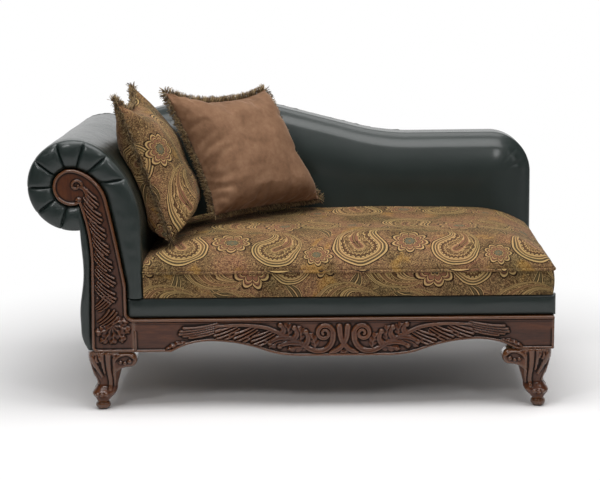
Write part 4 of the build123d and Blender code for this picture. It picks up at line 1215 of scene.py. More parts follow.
def scroll_panel():
    """Upright with a rimmed eye, a smooth cove down its right side and a strip of leaf tufts beside it."""
    right, left, eye = panel_sides()
    outline = np.vstack((right, left[::-1], eye[::-1][1:-1]))
    beyond = PANEL_HIGH.x + 2 * BEAD_WIDTH
    side = np.vstack((right[:-1], [(beyond, APRON_TOP)]))
    rim = np.vstack(([(beyond, SOLE_Z)], left[::-1], eye[::-1][1:-1], side))
    rim = even(rim, 0.0015)
    side = even(side, 0.002)

    def heights(points, depth):
        edge, _, _ = along(points, rim)
        from_right, _, _ = along(points, side)
        hollow = np.clip((from_right - BEAD_WIDTH) / (COVE_WIDTH - BEAD_WIDTH), 0, 1)
        cove = -COVE_LIP - COVE_DEPTH * np.sin(math.pi * hollow)
        work = Carving(points, PANEL_GROUND)
        stem_carving(work, right, left)
        foot_carving(work)
        strip = ease(COVE_WIDTH - 0.003, COVE_WIDTH, from_right)
        strip = np.maximum(strip, 1 - ease(APRON_TOP - 0.005, APRON_TOP + 0.025, points[:, 1]))
        height = cove + (work.height - cove) * strip
        eye_carving(points, height)
        field = ease(BEAD_WIDTH - 0.001, BEAD_WIDTH + 0.003, edge)
        height = height * field - QUIRK_DEPTH * (1 - field)
        return np.maximum(height, bead_profile(edge, BEAD_WIDTH, WOOD_RELIEF))

    panel = relief("scroll_panel", PANEL_WOOD, outline, CARVING_STEP, heights, FRAME_FRONT, WOOD_FACE)
    return show_wood(panel, "arm_scroll_panel")


STEM_TUFTS = 7

# Spray of leaves on the foot block, as (turn in degrees, length)
FOOT_LEAVES = ((200, 0.056), (236, 0.066), (268, 0.060), (302, 0.066), (338, 0.062), (14, 0.054))


def stem_carving(work, right, left):
    """Tufts of flutes that fall across the strip from its left to the cove, from the eye to the foot."""
    margin = BEAD_WIDTH + 0.003

    def across(z, share):
        start = np.interp(z, left[::-1, 1], left[::-1, 0]) + margin
        end = np.interp(z, right[::-1, 1], right[::-1, 0]) - COVE_WIDTH
        return start + share * (end - start)

    top = EYE[1] - 0.008
    foot = APRON_TOP + 0.088
    pitch = (top - foot) / (STEM_TUFTS - 0.4)
    for place in range(STEM_TUFTS - 1, -1, -1):
        z = top - place * pitch
        low = z - 1.05 * pitch
        root = (across(z, 0.04), z)
        tip = (across(low, 0.92), low)
        work.tuft(root, tip, (0.018, 0.028), 4, 0.0086, 0.0090)
        for share in (0.10, 0.30):
            spot = (across(low + 0.006, share), low + 0.012 - 0.02 * share)
            work.bud(spot, 0.0042, 0.0036)


def foot_carving(work):
    """Small tilted leaf above the joint of the foot block, and a spray of leaves on the block."""
    corner = np.array((PANEL_LOW.x, SOLE_Z))
    block = corner + ((PANEL_HIGH.x - PANEL_LOW.x) - 0.262, 0.0)
    work.tuft(block + (0.140, 0.148), block + (0.188, 0.190), (0.020, -0.024), 4, 0.0086, 0.0072)
    work.score(np.array((block + (0.128, 0.142), block + (0.215, 0.156))), 0.0014, 0.0035)
    work.tuft(block + (0.152, 0.096), block + (0.204, 0.140), (0.026, -0.024), 4, 0.0092, 0.0080)
    heart = block + (0.188, 0.092)
    for turn_deg, size in FOOT_LEAVES:
        way = direction(turn_deg)
        swirl = direction(turn_deg + 90)
        work.leaf(heart, heart + 0.55 * size * way + 0.016 * swirl, heart + size * way, 0.042, 0.0088, 3)


def eye_carving(points, height):
    """Plain dish in the eye, with a small curl at its right whose tail runs into the strip."""
    gap = np.linalg.norm(points - EYE, axis=1)
    share = gap / (EYE_R - BEAD_WIDTH)
    dish = gap < EYE_R + 0.006
    fade = 1 - ease(0.98, 1.10, share[dish])
    bowl = -0.0055 + 0.0040 * np.clip(share[dish], 0, 1) ** 2
    height[dish] += (bowl - height[dish]) * fade
    work = Carving(points, -1.0)
    curl = EYE + np.array((0.017, 0.006))
    work.stem(volute(curl, 0.020, 0.007, -20, 360, 90), (0.0095, 0.0075), 0.0055, 0.2)
    tail = curl + flowing(((0.016, -0.006), (0.027, -0.012), (0.035, -0.030), (0.040, -0.056)))
    work.stem(tail, (0.0115, 0.014), 0.0062, 0.35)
    work.bud(EYE_NECK + (-0.001, 0.011), 0.011, 0.0068)
    raised = work.height > height
    height[raised] = work.height[raised]


# Carved apron


def apron_outline():
    """Apron with a serpentine lower edge, drawn from its middle to the right and mirrored."""
    middle = (APRON_LOW.x + APRON_HIGH.x) / 2
    half = (APRON_HIGH.x - APRON_LOW.x) / 2
    arch_x = half - ARCH_FROM_END
    arch_z = SOLE_Z + ARCH_RISE
    flare = math.degrees(math.acos(1 - (arch_z - APRON_LOW.z) / (ARCH_INNER_R + ARCH_FLARE_R)))
    inner = arc((arch_x, arch_z - ARCH_INNER_R), ARCH_INNER_R, 90, 90 + flare)
    flare_centre = inner[-1] + ARCH_FLARE_R * direction(90 + flare)
    outer = arc(flare_centre, ARCH_FLARE_R, 270 + flare, 270)
    shoulder = tangent_arc((arch_x, arch_z), (half - APRON_BLOCK, SOLE_Z), (1.0, 0.0))
    lower = np.vstack((outer[::-1], inner[::-1][1:], shoulder[1:], [(half, SOLE_Z)]))
    rim = np.vstack((lower, [(half, APRON_TOP)]))
    mirrored = rim[::-1] * (-1, 1)
    outline = np.vstack((rim, mirrored))
    return outline + (middle, 0), middle


# Layout of the apron's carving, as (out from the middle, up from the lowest point)
APRON_SCROLL = (
    (0.035, 0.080), (0.038, 0.050), (0.055, 0.026), (0.084, 0.016), (0.112, 0.024), (0.140, 0.041),
    (0.175, 0.060), (0.218, 0.081), (0.265, 0.099), (0.340, 0.107), (0.425, 0.104),
)
APRON_REED = ((-0.014, 0.100), (-0.008, 0.060), (0.012, 0.028), (0.042, 0.010))
APRON_LEAVES = (
    ((0.096, 0.026), (0.094, 0.055), (0.112, 0.074)),
    ((0.146, 0.050), (0.136, 0.078), (0.152, 0.100)),
    ((0.186, 0.070), (0.176, 0.090), (0.196, 0.108)),
    ((0.112, 0.028), (0.150, 0.036), (0.186, 0.022)),
    ((0.172, 0.054), (0.214, 0.058), (0.248, 0.030)),
    ((0.010, 0.030), (0.012, 0.018), (0.000, 0.006)),
)
APRON_SHOOTS = (
    ((0.128, 0.040), (0.110, 0.062), (0.126, 0.082)),
    ((0.165, 0.060), (0.148, 0.078), (0.164, 0.096)),
    ((0.205, 0.080), (0.192, 0.094), (0.210, 0.106)),
    ((0.150, 0.046), (0.185, 0.052), (0.214, 0.034)),
    ((0.190, 0.066), (0.222, 0.068), (0.246, 0.046)),
)
APRON_TUFTS = (
    ((0.232, 0.080), (0.306, 0.046), 4),
    ((0.290, 0.094), (0.364, 0.056), 4),
    ((0.350, 0.098), (0.430, 0.066), 4),
    ((0.412, 0.102), (0.548, 0.078), 5),
)
APRON_END_LEAF = ((0.518, 0.048), (0.556, 0.050), (0.596, 0.026))
APRON_END_BUD = (0.566, 0.026)


def apron_carving(work, middle):
    """C-scrolls and crossing reeds in the middle, winding stems, and tufts of flutes out to both sides."""
    for hand in (-1, 1):

        def laid(layout):
            return np.array(layout) * (hand, 1) + (middle, APRON_LOW.z)

        start, end = (degrees if hand > 0 else 180 - degrees for degrees in (180, -400))
        curl = volute(laid((0.064, 0.078)), 0.029, 0.005, start, end, 120)
        work.stem(curl, (0.019, 0.010), 0.0076, 0.3)
        work.stem(flowing(laid(APRON_SCROLL)), (0.022, 0.0085), 0.0076, 0.3)
        work.stem(flowing(laid(APRON_REED)), (0.021, 0.017), 0.0080, 0.25)
        for leaf in APRON_LEAVES:
            work.leaf(*laid(leaf), 0.036, 0.0046, 3)
        for shoot in APRON_SHOOTS:
            root, bend, tip = laid(shoot)
            work.stem(bezier(root, bend, tip), (0.024, 0.013), 0.0078, 0.3)
            work.bud(tip, 0.0098, 0.0084)
        for *ends, count in APRON_TUFTS:
            root, tip = laid(ends)
            work.tuft(root, tip, (hand * 0.020, 0.032), count, 0.0098, 0.0082, hand * 0.06)
            for share in (0.25, 0.62):
                pearl = root + share * (tip - root) + (hand * 0.010, -0.019)
                work.bud(pearl, 0.0055, 0.0058)
        work.leaf(*laid(APRON_END_LEAF), 0.020, 0.0062, 4)
        work.bud(laid(APRON_END_BUD), 0.008, 0.0062)


def apron():
    outline, middle = apron_outline()

    def heights(points, depth):
        work = Carving(points)
        apron_carving(work, middle)
        top = APRON_TOP - points[:, 1]
        rail = bead_profile(top, BEAD_WIDTH, WOOD_RELIEF)
        rail = np.maximum(rail, bead_profile(top - 0.0115, 0.004, 0.0022) * (top > 0.0115))
        lower = np.where(top > 0.04, bead_profile(depth, 0.0085, 0.0048), 0.0)
        ends = np.minimum(points[:, 0] - APRON_LOW.x, APRON_HIGH.x - points[:, 0])
        lower = lower * ease(0.0, 0.004, ends)
        field = ease(0.007, 0.011, depth) * ease(0.012, 0.016, top)
        return np.maximum.reduce((work.height * field, rail, lower))

    outline = even(outline, 0.004)
    piece = relief("carved_apron", APRON_WOOD, outline, 0.0018, heights, FRAME_FRONT, WOOD_FACE)
    return show_wood(piece, "apron", "apron_carving")


# Carved legs

# Swells and waists of a front leg: height, outer and inner reach, front and back reach
LEG_SECTIONS = np.array((
    (0.026, 0.017, 0.017, 0.017, 0.017),
    (0.036, 0.022, 0.026, 0.022, 0.024),
    (0.058, 0.034, 0.046, 0.035, 0.036),
    (0.085, 0.018, 0.051, 0.020, 0.039),
    (0.120, 0.026, 0.061, 0.026, 0.045),
    (0.160, 0.037, 0.072, 0.037, 0.051),
    (0.188, 0.041, 0.078, 0.040, 0.054),
    (0.203, 0.041, 0.080, 0.040, 0.055),
))

# Half profile of the bun foot, as (radius, height)
BUN_PROFILE = np.array((
    (0.0, 0.003), (0.018, 0.003), (0.0235, 0.008), (0.025, 0.015),
    (0.0235, 0.022), (0.019, 0.027), (0.0, 0.030),
))
EAR_REACH = 0.124
EAR_ROOT = 0.040
EAR_DROP = 0.062
EAR_DEPTH = 0.054
EAR_TIP_R = 0.026
EAR_EDGE_R = 0.012

# Stems carved on a leg, as (points across and up, widths, rise)
LEG_STEMS = (
    (((0.026, 0.196), (0.027, 0.150), (0.031, 0.105), (0.029, 0.074)), (0.019, 0.013), 0.0062),
    (((0.049, 0.180), (0.046, 0.130), (0.046, 0.086)), (0.014, 0.010), 0.0050),
    (((-0.026, 0.182), (-0.013, 0.150), (0.004, 0.116)), (0.018, 0.007), 0.0062),
    (((-0.037, 0.172), (-0.026, 0.130), (-0.012, 0.092)), (0.015, 0.010), 0.0052),
    (((0.006, 0.196), (0.008, 0.165), (0.013, 0.130)), (0.015, 0.005), 0.0055),
)
SIDE_STEM_SHIFT = -0.010
TOE_BALLS = ((-0.015, 0.055), (0.000, 0.053), (0.015, 0.055))

# Balls in the scroll of an ear, about its tip, as (across, up, radius)
EAR_BALLS = ((-0.030, -0.008, 0.0062), (-0.015, -0.011, 0.0062), (0.001, -0.005, 0.0075))
EAR_RIM = ((-0.062, -0.016), (-0.036, 0.012), (-0.006, 0.019), (0.017, 0.006))


def smooth_rows(table, heights):
    """Columns of a table eased between its rows at given heights."""
    knots = table[:, 0]
    slopes = np.gradient(table[:, 1:], knots, axis=0)
    span = np.clip(np.searchsorted(knots, heights) - 1, 0, len(knots) - 2)
    step = (knots[span + 1] - knots[span])[:, None]
    t = ((heights - knots[span])[:, None]) / step
    low, high = table[span, 1:], table[span + 1, 1:]
    return (
        (2 * t**3 - 3 * t**2 + 1) * low
        + (t**3 - 2 * t**2 + t) * step * slopes[span]
        + (3 * t**2 - 2 * t**3) * high
        + (t**3 - t**2) * step * slopes[span + 1]
    )


def front_leg(name, foot_x, foot_y, inward):
    """Cabriole leg of squarish section on a bun foot, with its ear."""
    heights = np.linspace(LEG_SECTIONS[0, 0], LEG_SECTIONS[-1, 0], 120)
    reach = smooth_rows(LEG_SECTIONS, heights)
    turn = np.linspace(0, 2 * math.pi, 121)
    power = 3.0
    radius = (np.abs(np.cos(turn)) ** power + np.abs(np.sin(turn)) ** power) ** (-1 / power)
    unit_x, unit_y = np.cos(turn) * radius, np.sin(turn) * radius
    outer, inner, front, back = (reach[:, [i]] for i in range(4))
    across = (inner - outer) / 2 + unit_x * (inner + outer) / 2
    depth = (back - front) / 2 + unit_y * (back + front) / 2
    height = np.repeat(heights[:, None], len(turn), 1)

    # Flutes and leaves carved on the front, and half as high on the outer side
    front_rise = leg_carving(across, height, True) * ease(0.25, 0.70, -unit_y)
    side_rise = 0.5 * leg_carving(depth, height, False) * ease(0.25, 0.70, -unit_x)
    depth = depth - front_rise
    across = across - side_rise

    shell = Shell()
    body = np.stack((foot_x + inward * across, foot_y + depth, height), -1)
    shell.grid(body)
    for ring in (body[0], body[-1]):
        middle = ring[:-1].mean(0)
        shell.grid(np.stack((ring, np.repeat(middle[None, :], len(ring), 0))))
    rounds = np.linspace(0, 2 * math.pi, 49)
    curve = even(flowing(BUN_PROFILE[1:-1], 6), 0.0016)
    bun_r, bun_z = np.vstack((BUN_PROFILE[:1], curve, BUN_PROFILE[-1:])).T[..., None]
    bun_z = np.repeat(bun_z, len(rounds), 1)
    shell.grid(np.stack((foot_x + bun_r * np.cos(rounds), foot_y + bun_r * np.sin(rounds), bun_z), -1))
    leg = shell.make(name + "_carved", PANEL_WOOD)
    return show_wood(join(leg, leg_ear(name, foot_x, foot_y, inward)), name)


def leg_carving(place, height, front):
    """Rise of leaves and flutes that fall from the knee to the ankle, and of balls on the toe's front."""
    work = Carving(np.column_stack((place.ravel(), height.ravel())))
    shift = (0.0 if front else SIDE_STEM_SHIFT, 0.0)
    for points, widths, rise in LEG_STEMS:
        work.stem(flowing(points) + shift, widths, rise, 0.2)
    top = LEG_SECTIONS[-1, 0]
    work.tuft((-0.022, top + 0.006), (-0.020, 0.168), (0.044, 0.0), 5, 0.0085, 0.0062)
    for ball in TOE_BALLS if front else ():
        work.bud(ball, 0.0078, 0.0050)
    return work.height.reshape(height.shape)


def leg_ear(name, foot_x, foot_y, inward):
    """Scrolled bracket that reaches inward from the knee, under the apron."""
    top = LEG_SECTIONS[-1, 0]
    tip = np.array((EAR_REACH - EAR_TIP_R, top - EAR_TIP_R))
    root = (EAR_ROOT, top - EAR_DROP - 0.022)
    under = tangent_arc((tip[0], top - 2 * EAR_TIP_R), root, (-1.0, 0.0), 24)
    outline = np.vstack(([(EAR_ROOT, top)], arc(tip, EAR_TIP_R, 90, -90, 30), under[1:]))
    outline = even(outline * (inward, 1) + (foot_x, 0), 0.002)
    front = foot_y - LEG_SECTIONS[-1, 3]

    def heights(points, depth):
        work = Carving((points - (foot_x, 0)) * (inward, 1), -QUIRK_DEPTH)
        work.stem(tip + flowing(EAR_RIM), (0.010, 0.010), 0.0052, 0.2)
        for x, z, size in EAR_BALLS:
            work.bud(tip + (x, z), size, 0.0055)
        carved = work.height * ease(0.15, 0.7, depth / EAR_EDGE_R)
        return round_over(depth, EAR_EDGE_R) - EAR_EDGE_R + carved

    return relief(name + "_ear", PANEL_WOOD, outline, CARVING_STEP, heights, front + EAR_DEPTH, front)


def join(first, second):
    """One object from two meshes of the same finish."""
    work = bmesh.new()
    work.from_mesh(first.data)
    work.from_mesh(second.data)
    work.to_mesh(first.data)
    work.free()
    bpy.data.objects.remove(second)
    return first


# Low back

# Rows of points up the lower face, up the rest of it, round the roll and over the top
LOWER_ROWS = 15
FACE_ROWS = 13
ROLL_ROWS = 14
TOP_ROWS = 6


def back_top():
    """Top edge of the back, from behind the arm to where the foot end turns down."""
    slope = math.radians(BACK_SLOPE_DEG)
    fall = (BACK_DROP - (CREST_R + HOLLOW_R) * (1 - math.cos(slope))) / math.sin(slope)
    start_deg = 90 + math.degrees(math.asin(CREST_REACH / CREST_R))
    crest = arc((PEAK_X, BACK_PEAK - CREST_R), CREST_R, start_deg, 90 - BACK_SLOPE_DEG, 90)
    ramp_end = crest[-1] + fall * direction(-BACK_SLOPE_DEG)
    hollow_centre = ramp_end + HOLLOW_R * direction(90 - BACK_SLOPE_DEG)
    hollow = arc(hollow_centre, HOLLOW_R, 270 - BACK_SLOPE_DEG, 270, 40)
    return np.vstack((crest, hollow, [(BACK_END[0], BACK_PEAK - BACK_DROP)]))


def arm_height(x):
    """Height of the top of the arm above a place between the roll and its inner face."""
    side = arm_side(BAND_TOP)[::-1]
    return np.interp(x, side[:, 0], side[:, 1], right=0.0)


def back_section(inset, roll):
    """Distances from the top edge and depths behind the face, up it, round the roll and over the top."""
    flat = np.linspace(inset, roll, FACE_ROWS + 1)[:-1]
    turned = np.radians(np.linspace(0, 90, ROLL_ROWS))
    distance = np.concatenate((flat, roll * (1 - np.sin(turned)), np.zeros(TOP_ROWS)))
    depth = np.concatenate((np.zeros(FACE_ROWS), roll * (1 - np.cos(turned)), np.full(TOP_ROWS, roll)))
    return distance, depth


def back_pad():
    """Full leather back that leans, rolls over its top and turns round the foot end with two gathers."""
    top = back_top()
    lean = math.tan(math.radians(BACK_LEAN_DEG))
    end_x, end_z = BACK_END
    foot = BACK_LOW.z
    crest_line = top[top[:, 0] < end_x]
    rim = even(np.vstack((crest_line, arc(BACK_END, BACK_END_R, 90, 0), [(X_RIGHT, foot)])), 0.006)

    def face(z):
        return BACK_FACE_Y + (z - SEAT_TOP) * lean

    def bulge(points):
        """Soft fullness of the leaning face, which falls away towards its rim."""
        y, z = points[..., 1], points[..., 2]
        inward, _, _ = along(points[..., (0, 2)].reshape(-1, 2), rim)
        share = np.clip(inward.reshape(z.shape) / BACK_SWELL, 0, 1)
        flat = ease(0.0, 0.05, 0.06 - (y - face(z)))
        crown = BACK_CROWN * np.sin(math.pi * share) - BACK_FALL * (1 - share) ** 2
        full = crown * flat + 0.0012 * ripples(points * (0.5, 1.0, 1.0), 0.22, 21)
        moved = points.copy()
        moved[..., 1] = y - np.where(y < FRAME_REAR - 0.02, full, 0)
        return moved

    sections = []
    for x in np.linspace(BACK_LOW.x + 0.004, end_x, 190):
        crest = np.interp(x, top[:, 0], top[:, 1])
        base = max(foot, arm_height(x) + 0.0006)
        middle = max(min(end_z, crest - 0.075), base)
        roll = min(BACK_ROLL_R, 0.8 * (crest - base))
        middle = min(middle, crest - roll - 0.004)
        lower = np.linspace(base, max(middle, base + 0.0005), LOWER_ROWS + 1)[:-1]
        distance, depth = back_section(crest - lower[-1] - (lower[-1] - lower[-2]), roll)
        z = np.concatenate((lower, crest - distance))
        y = face(z)
        y[LOWER_ROWS + FACE_ROWS :] = face(crest - roll)
        y[LOWER_ROWS:] += depth
        y = np.minimum(y, FRAME_REAR)
        y[-TOP_ROWS:] = np.linspace(y[-TOP_ROWS - 1], FRAME_REAR, TOP_ROWS + 1)[1:]
        sections.append(np.column_stack((np.full(len(z), x), y, z)))

    # Quarter turn at the foot end, then down that end
    lower_z = sections[-1][:LOWER_ROWS, 2]
    _, upper_y, upper_z = sections[-1][LOWER_ROWS:].T
    reach = upper_z - end_z
    spokes = []
    for turn_deg in np.linspace(90, 0, 40):
        place = BACK_END + reach[:, None] * direction(turn_deg)
        gather = sum(math.exp(-(((turn_deg - spot) / GATHER_WIDTH_DEG) ** 2)) for spot in GATHERS_DEG)
        edge = np.exp(-(((reach - BACK_END_R + 0.03) / 0.035) ** 2))
        y = upper_y + GATHER_DEPTH * gather * edge
        spokes.append(np.column_stack((place[:, 0], y, place[:, 1])))
    falls = [spokes[-1]]
    for z in lower_z[::-1]:
        lowered = face(z) - face(end_z)
        y = upper_y + np.linspace(1, 0, len(reach)) * lowered
        falls.append(np.column_stack((end_x + reach, y, np.full(len(reach), z))))
    grids = [bulge(np.array(rows)) for rows in (sections, spokes, falls)]
    pad = open_sheet("back_leather", LEATHER, grids, (0.3, 1.4, 0.5), merge=0.0012)
    return settle(thicken(pad, LEATHER_THICK), "chaise", "leather", "back_pad")


def outside_back():
    top = back_top()
    side = arm_side(FRAME_Z) + (0.0006, 0)
    side = side[side[:, 1] < np.interp(side[:, 0], top[:, 0], top[:, 1]) - 0.004]
    crest = top[top[:, 0] > side[-1, 0] + 0.004]
    outline = np.vstack((side, crest, arc(BACK_END, BACK_END_R, 90, 0, 30), [(X_RIGHT, FRAME_Z)]))
    outline = even(outline, 0.01)
    return rear_plate("outside_back_panel", "outside_back", outline, 0.012, 0.1, 0.0008, 0.2, 23)


def puffed_panel(name, corner, wide, tall, out, depth, edge, seed):
    """Padded leather panel: a rounded slab on a corner, along two sides, standing out by a depth."""
    corner, wide, tall, out = (np.asarray(value, float) for value in (corner, wide, tall, out))
    size_w, size_t = np.linalg.norm(wide), np.linalg.norm(tall)

    def stations(size):
        turned = edge * (1 - np.cos(np.radians(np.linspace(0, 90, 9))))
        inner = np.linspace(edge, size - edge, max(4, round((size - 2 * edge) / 0.008)))
        return np.concatenate((turned, inner[1:-1], size - turned[::-1]))

    a, b = np.meshgrid(stations(size_w), stations(size_t), indexing="ij")
    near = np.minimum(np.minimum(a, size_w - a), np.minimum(b, size_t - b))
    flat = np.stack((a, b), -1)
    fullness = PANEL_FULLNESS * np.sin(math.pi * b / size_t)
    fullness += 0.0007 * ripples(flat * (0.4, 1.0), 0.07, seed)
    stand = (depth - edge) + round_over(near, edge) + fullness * ease(0.0, 0.02, near)
    stand = np.where(near <= 0, 0.0, stand)
    points = corner + a[..., None] * wide / size_w + b[..., None] * tall / size_t + stand[..., None] * out
    shell = Shell()
    shell.grid(points)
    rim = np.vstack((points[:, 0], points[-1, 1:], points[-2::-1, -1], points[0, -2:0:-1]))
    shell.add(rim, [list(range(len(rim)))])
    return shell.make(name, LEATHER)


def end_and_band():
    end_size = END_HIGH - END_LOW
    end = puffed_panel(
        "end_leather",
        corner=END_LOW,
        wide=(0, end_size.y, 0),
        tall=(0, 0, end_size.z),
        out=(1, 0, 0),
        depth=end_size.x - 0.003,
        edge=0.006,
        seed=31,
    )
    settle(end, "chaise", "leather", "end_panel")
    left = SHIN_X + 0.001
    foot = BAND_LOW.z + 0.001
    band = puffed_panel(
        "band_leather",
        corner=(left, BAND_HIGH.y, foot),
        wide=(BAND_HIGH.x - left, 0, 0),
        tall=(0, 0, BAND_HIGH.z - foot),
        out=(0, -1, 0),
        depth=BAND_HIGH.y - BAND_LOW.y - 0.002,
        edge=0.010,
        seed=32,
    )
    return settle(band, "chaise", "leather", "front_band")


# Seat


def crown_path(wall, edge_r, way):
    """Rounded edge of the seat from the welt up to the top, as (place, height)."""
    turn = math.radians(SEAT_EDGE_TURN_DEG)
    sweep_r = (SEAT_TOP - WELT_Z - edge_r * math.sin(turn)) / (1 - math.sin(turn))
    first = np.linspace(0, turn, 16)
    second = np.linspace(turn, math.pi / 2, 30)[1:]
    start = edge_r * (1 - math.cos(turn)) - sweep_r * (1 - math.cos(turn))
    place = np.concatenate((edge_r * (1 - np.cos(first)), start + sweep_r * (1 - np.cos(second))))
    rise_start = edge_r * math.sin(turn) - sweep_r * math.sin(turn)
    height = np.concatenate((edge_r * np.sin(first), rise_start + sweep_r * np.sin(second)))
    return np.column_stack((wall + way * place, WELT_Z + height))


def seat_cushion():
    """Crowned seat with a boxed edge below its piping."""
    lean = math.tan(math.radians(BACK_LEAN_DEG))
    front = crown_path(SEAT_LOW.y, SEAT_EDGE_R, 1)
    deep = np.linspace(front[-1, 0], SEAT_HIGH.y, 70)[1:]
    profile_y = np.vstack((front, np.column_stack((deep, np.full(len(deep), SEAT_TOP)))))
    end = crown_path(SEAT_HIGH.x, SEAT_END_R, -1)
    sink_start = ARM_INNER + SEAT_SINK_LENGTH
    middle = np.linspace(end[-1, 0], sink_start, 120)[1:]
    sunk = np.linspace(sink_start, SEAT_LOW.x, 50)[1:]
    dip = SEAT_TOP - SEAT_SINK * ((sink_start - sunk) / (sink_start - SEAT_LOW.x)) ** 2
    level = np.column_stack((middle, np.full(len(middle), SEAT_TOP)))
    profile_x = np.vstack((end, level, np.column_stack((sunk, dip))))[::-1]
    soft = 0.010
    zx, zy = np.meshgrid(profile_x[:, 1], profile_y[:, 1], indexing="ij")
    blend = np.clip(0.5 + 0.5 * (zy - zx) / soft, 0, 1)
    top_z = zy + (zx - zy) * blend - soft * blend * (1 - blend)
    edge = np.minimum(zx, zy) - WELT_Z
    top_z = np.where(edge < 1e-6, WELT_Z, np.maximum(top_z, WELT_Z))
    x, y = np.meshgrid(profile_x[:, 0], profile_y[:, 0], indexing="ij")
    field = np.stack((x, y, top_z), -1)
    free = ease(0.0, 0.03, edge)
    drawn = np.exp(-edge / 0.03) * free
    pulls = ripples(np.stack((x, 0.25 * y), -1), 0.055, 41) * drawn
    hollows = ripples(np.stack((x, y), -1), 0.30, 42)
    field[..., 2] += free * (0.0028 * hollows - 0.004) + 0.0022 * pulls
    back_limit = BACK_FACE_Y + (field[..., 2] - SEAT_TOP) * lean - 0.001
    field[..., 1] = np.minimum(field[..., 1], back_limit)
    places = np.stack(np.meshgrid(lengths(profile_x), lengths(profile_y), indexing="ij"), -1)
    shell = Shell()
    shell.grid(round_corner(field), places)

    # Boxing: the walls under the piping, a little full between their seams
    rim = np.vstack((field[:, 0], field[-1, 1:], field[-2::-1, -1], field[0, -2:0:-1], field[0, :1]))
    run = lengths(rim)
    drop = np.linspace(0, 1, 16)
    outward = np.zeros_like(rim)
    outward[:, 0] = np.where(rim[:, 0] > SEAT_HIGH.x - 0.001, 1.0, 0.0)
    outward[:, 1] = np.where(rim[:, 1] < SEAT_LOW.y + 0.001, -1.0, 0.0)
    wave = 0.0014 * ripples(np.stack((run, np.zeros_like(run)), -1), 0.11, 43)
    swell = (BOXING_FULLNESS + wave[:, None]) * np.sin(math.pi * drop)
    wall = np.repeat(rim[:, None], len(drop), 1)
    wall[..., 2] += (SEAT_LOW.z - rim[:, None, 2]) * drop
    wall += outward[:, None] * swell[..., None]
    wall_u, wall_v = np.meshgrid(run + 0.11, 0.31 - drop * (WELT_Z - SEAT_LOW.z), indexing="ij")
    shell.grid(round_corner(wall), np.stack((wall_u, wall_v), -1))
    base = round_corner(wall[:-1, -1:])[:, 0]
    shell.add(base, [list(range(len(base)))])
    cushion = shell.make("seat_cushion_cover", PAISLEY)
    return settle(cushion, "chaise", "paisley_cloth", "seat_cushion")


def round_corner(points):
    """Draw the front corner of the seat in to its rounded plan."""
    moved = points.copy()
    centre = np.array((SEAT_HIGH.x - SEAT_CORNER_R, SEAT_LOW.y + SEAT_CORNER_R))
    gap = moved[..., :2] - centre
    corner = (gap[..., 0] > 0) & (gap[..., 1] < 0)
    size = np.linalg.norm(gap, axis=-1)
    share = np.where(corner & (size > SEAT_CORNER_R), SEAT_CORNER_R / np.maximum(size, 1e-9), 1.0)
    moved[..., :2] = centre + gap * share[..., None]
    return moved


def seat_welt():
    """Piping round the top of the boxing, swept along its seam by a rule."""
    y = WELT_LOW.y + WELT_R
    x = WELT_HIGH.x - WELT_R
    corner_r = SEAT_CORNER_R + WELT_R
    straight = np.linspace(WELT_LOW.x, x - corner_r, 120)
    front = np.column_stack((straight, np.full(len(straight), y)))
    corner = arc((x - corner_r, y + corner_r), corner_r, 270, 360, 14)
    end = np.column_stack((np.full(50, x), np.linspace(y + corner_r, WELT_HIGH.y, 51)[1:]))
    plan = np.vstack((front, corner[1:], end))
    height = WELT_Z + 0.0011 * ripples(lengths(plan)[:, None], 0.14, 44)
    path = np.column_stack((plan, height))
    base = wire("seat_piping", path)
    rule = Rule("piping")
    radius = rule.size("Radius", WELT_R)
    ring = rule.node("GeometryNodeCurvePrimitiveCircle", inputs={"Resolution": 12, "Radius": radius})
    sweep = {"Curve": rule.curve(), "Profile Curve": ring, "Fill Caps": True}
    tube = rule.node("GeometryNodeCurveToMesh", inputs=sweep)
    rule.make(base, tube, PAISLEY)
    wrap_cloth(base, path)
    return settle(base, "chaise", "paisley_cloth", "seat_welt")


def wrap_cloth(obj, path):
    """Cloth coordinates for piping: along its path, and round it."""
    points = points_of(obj.data)
    gap = points[:, None] - path
    nearest = np.argmin((gap**2).sum(-1), axis=1)
    run = lengths(path)[nearest]
    lay_cloth(obj.data, np.column_stack((run, 0.02 + points[:, 2] - path[nearest, 2])))


# Loose pillows

CORNERS = ((-1, -1), (1, -1), (-1, 1), (1, 1))
PILLOW_STEPS = 76
SEAM_CROWDING = 0.97
CLOTH_FRAMES = 20
CLOTH_LIMIT = 0.012
CLOTH_SETTINGS = {
    "quality": 6,
    "mass": 0.25,
    "tension_stiffness": 18,
    "compression_stiffness": 12,
    "shear_stiffness": 5,
    "bending_stiffness": 0.35,
    "use_pressure": True,
    "uniform_pressure_force": 3.0,
    "vertex_group_mass": "seam",
    "shrink_min": -0.035,
}
FRINGE_LENGTH = 0.031
FRINGE_ROOT = 0.006
FRINGE_STRANDS = 4300
STRAND_R = 0.0012
STRAND_SPREAD = 0.60
STRAND_WAVE = 0.012


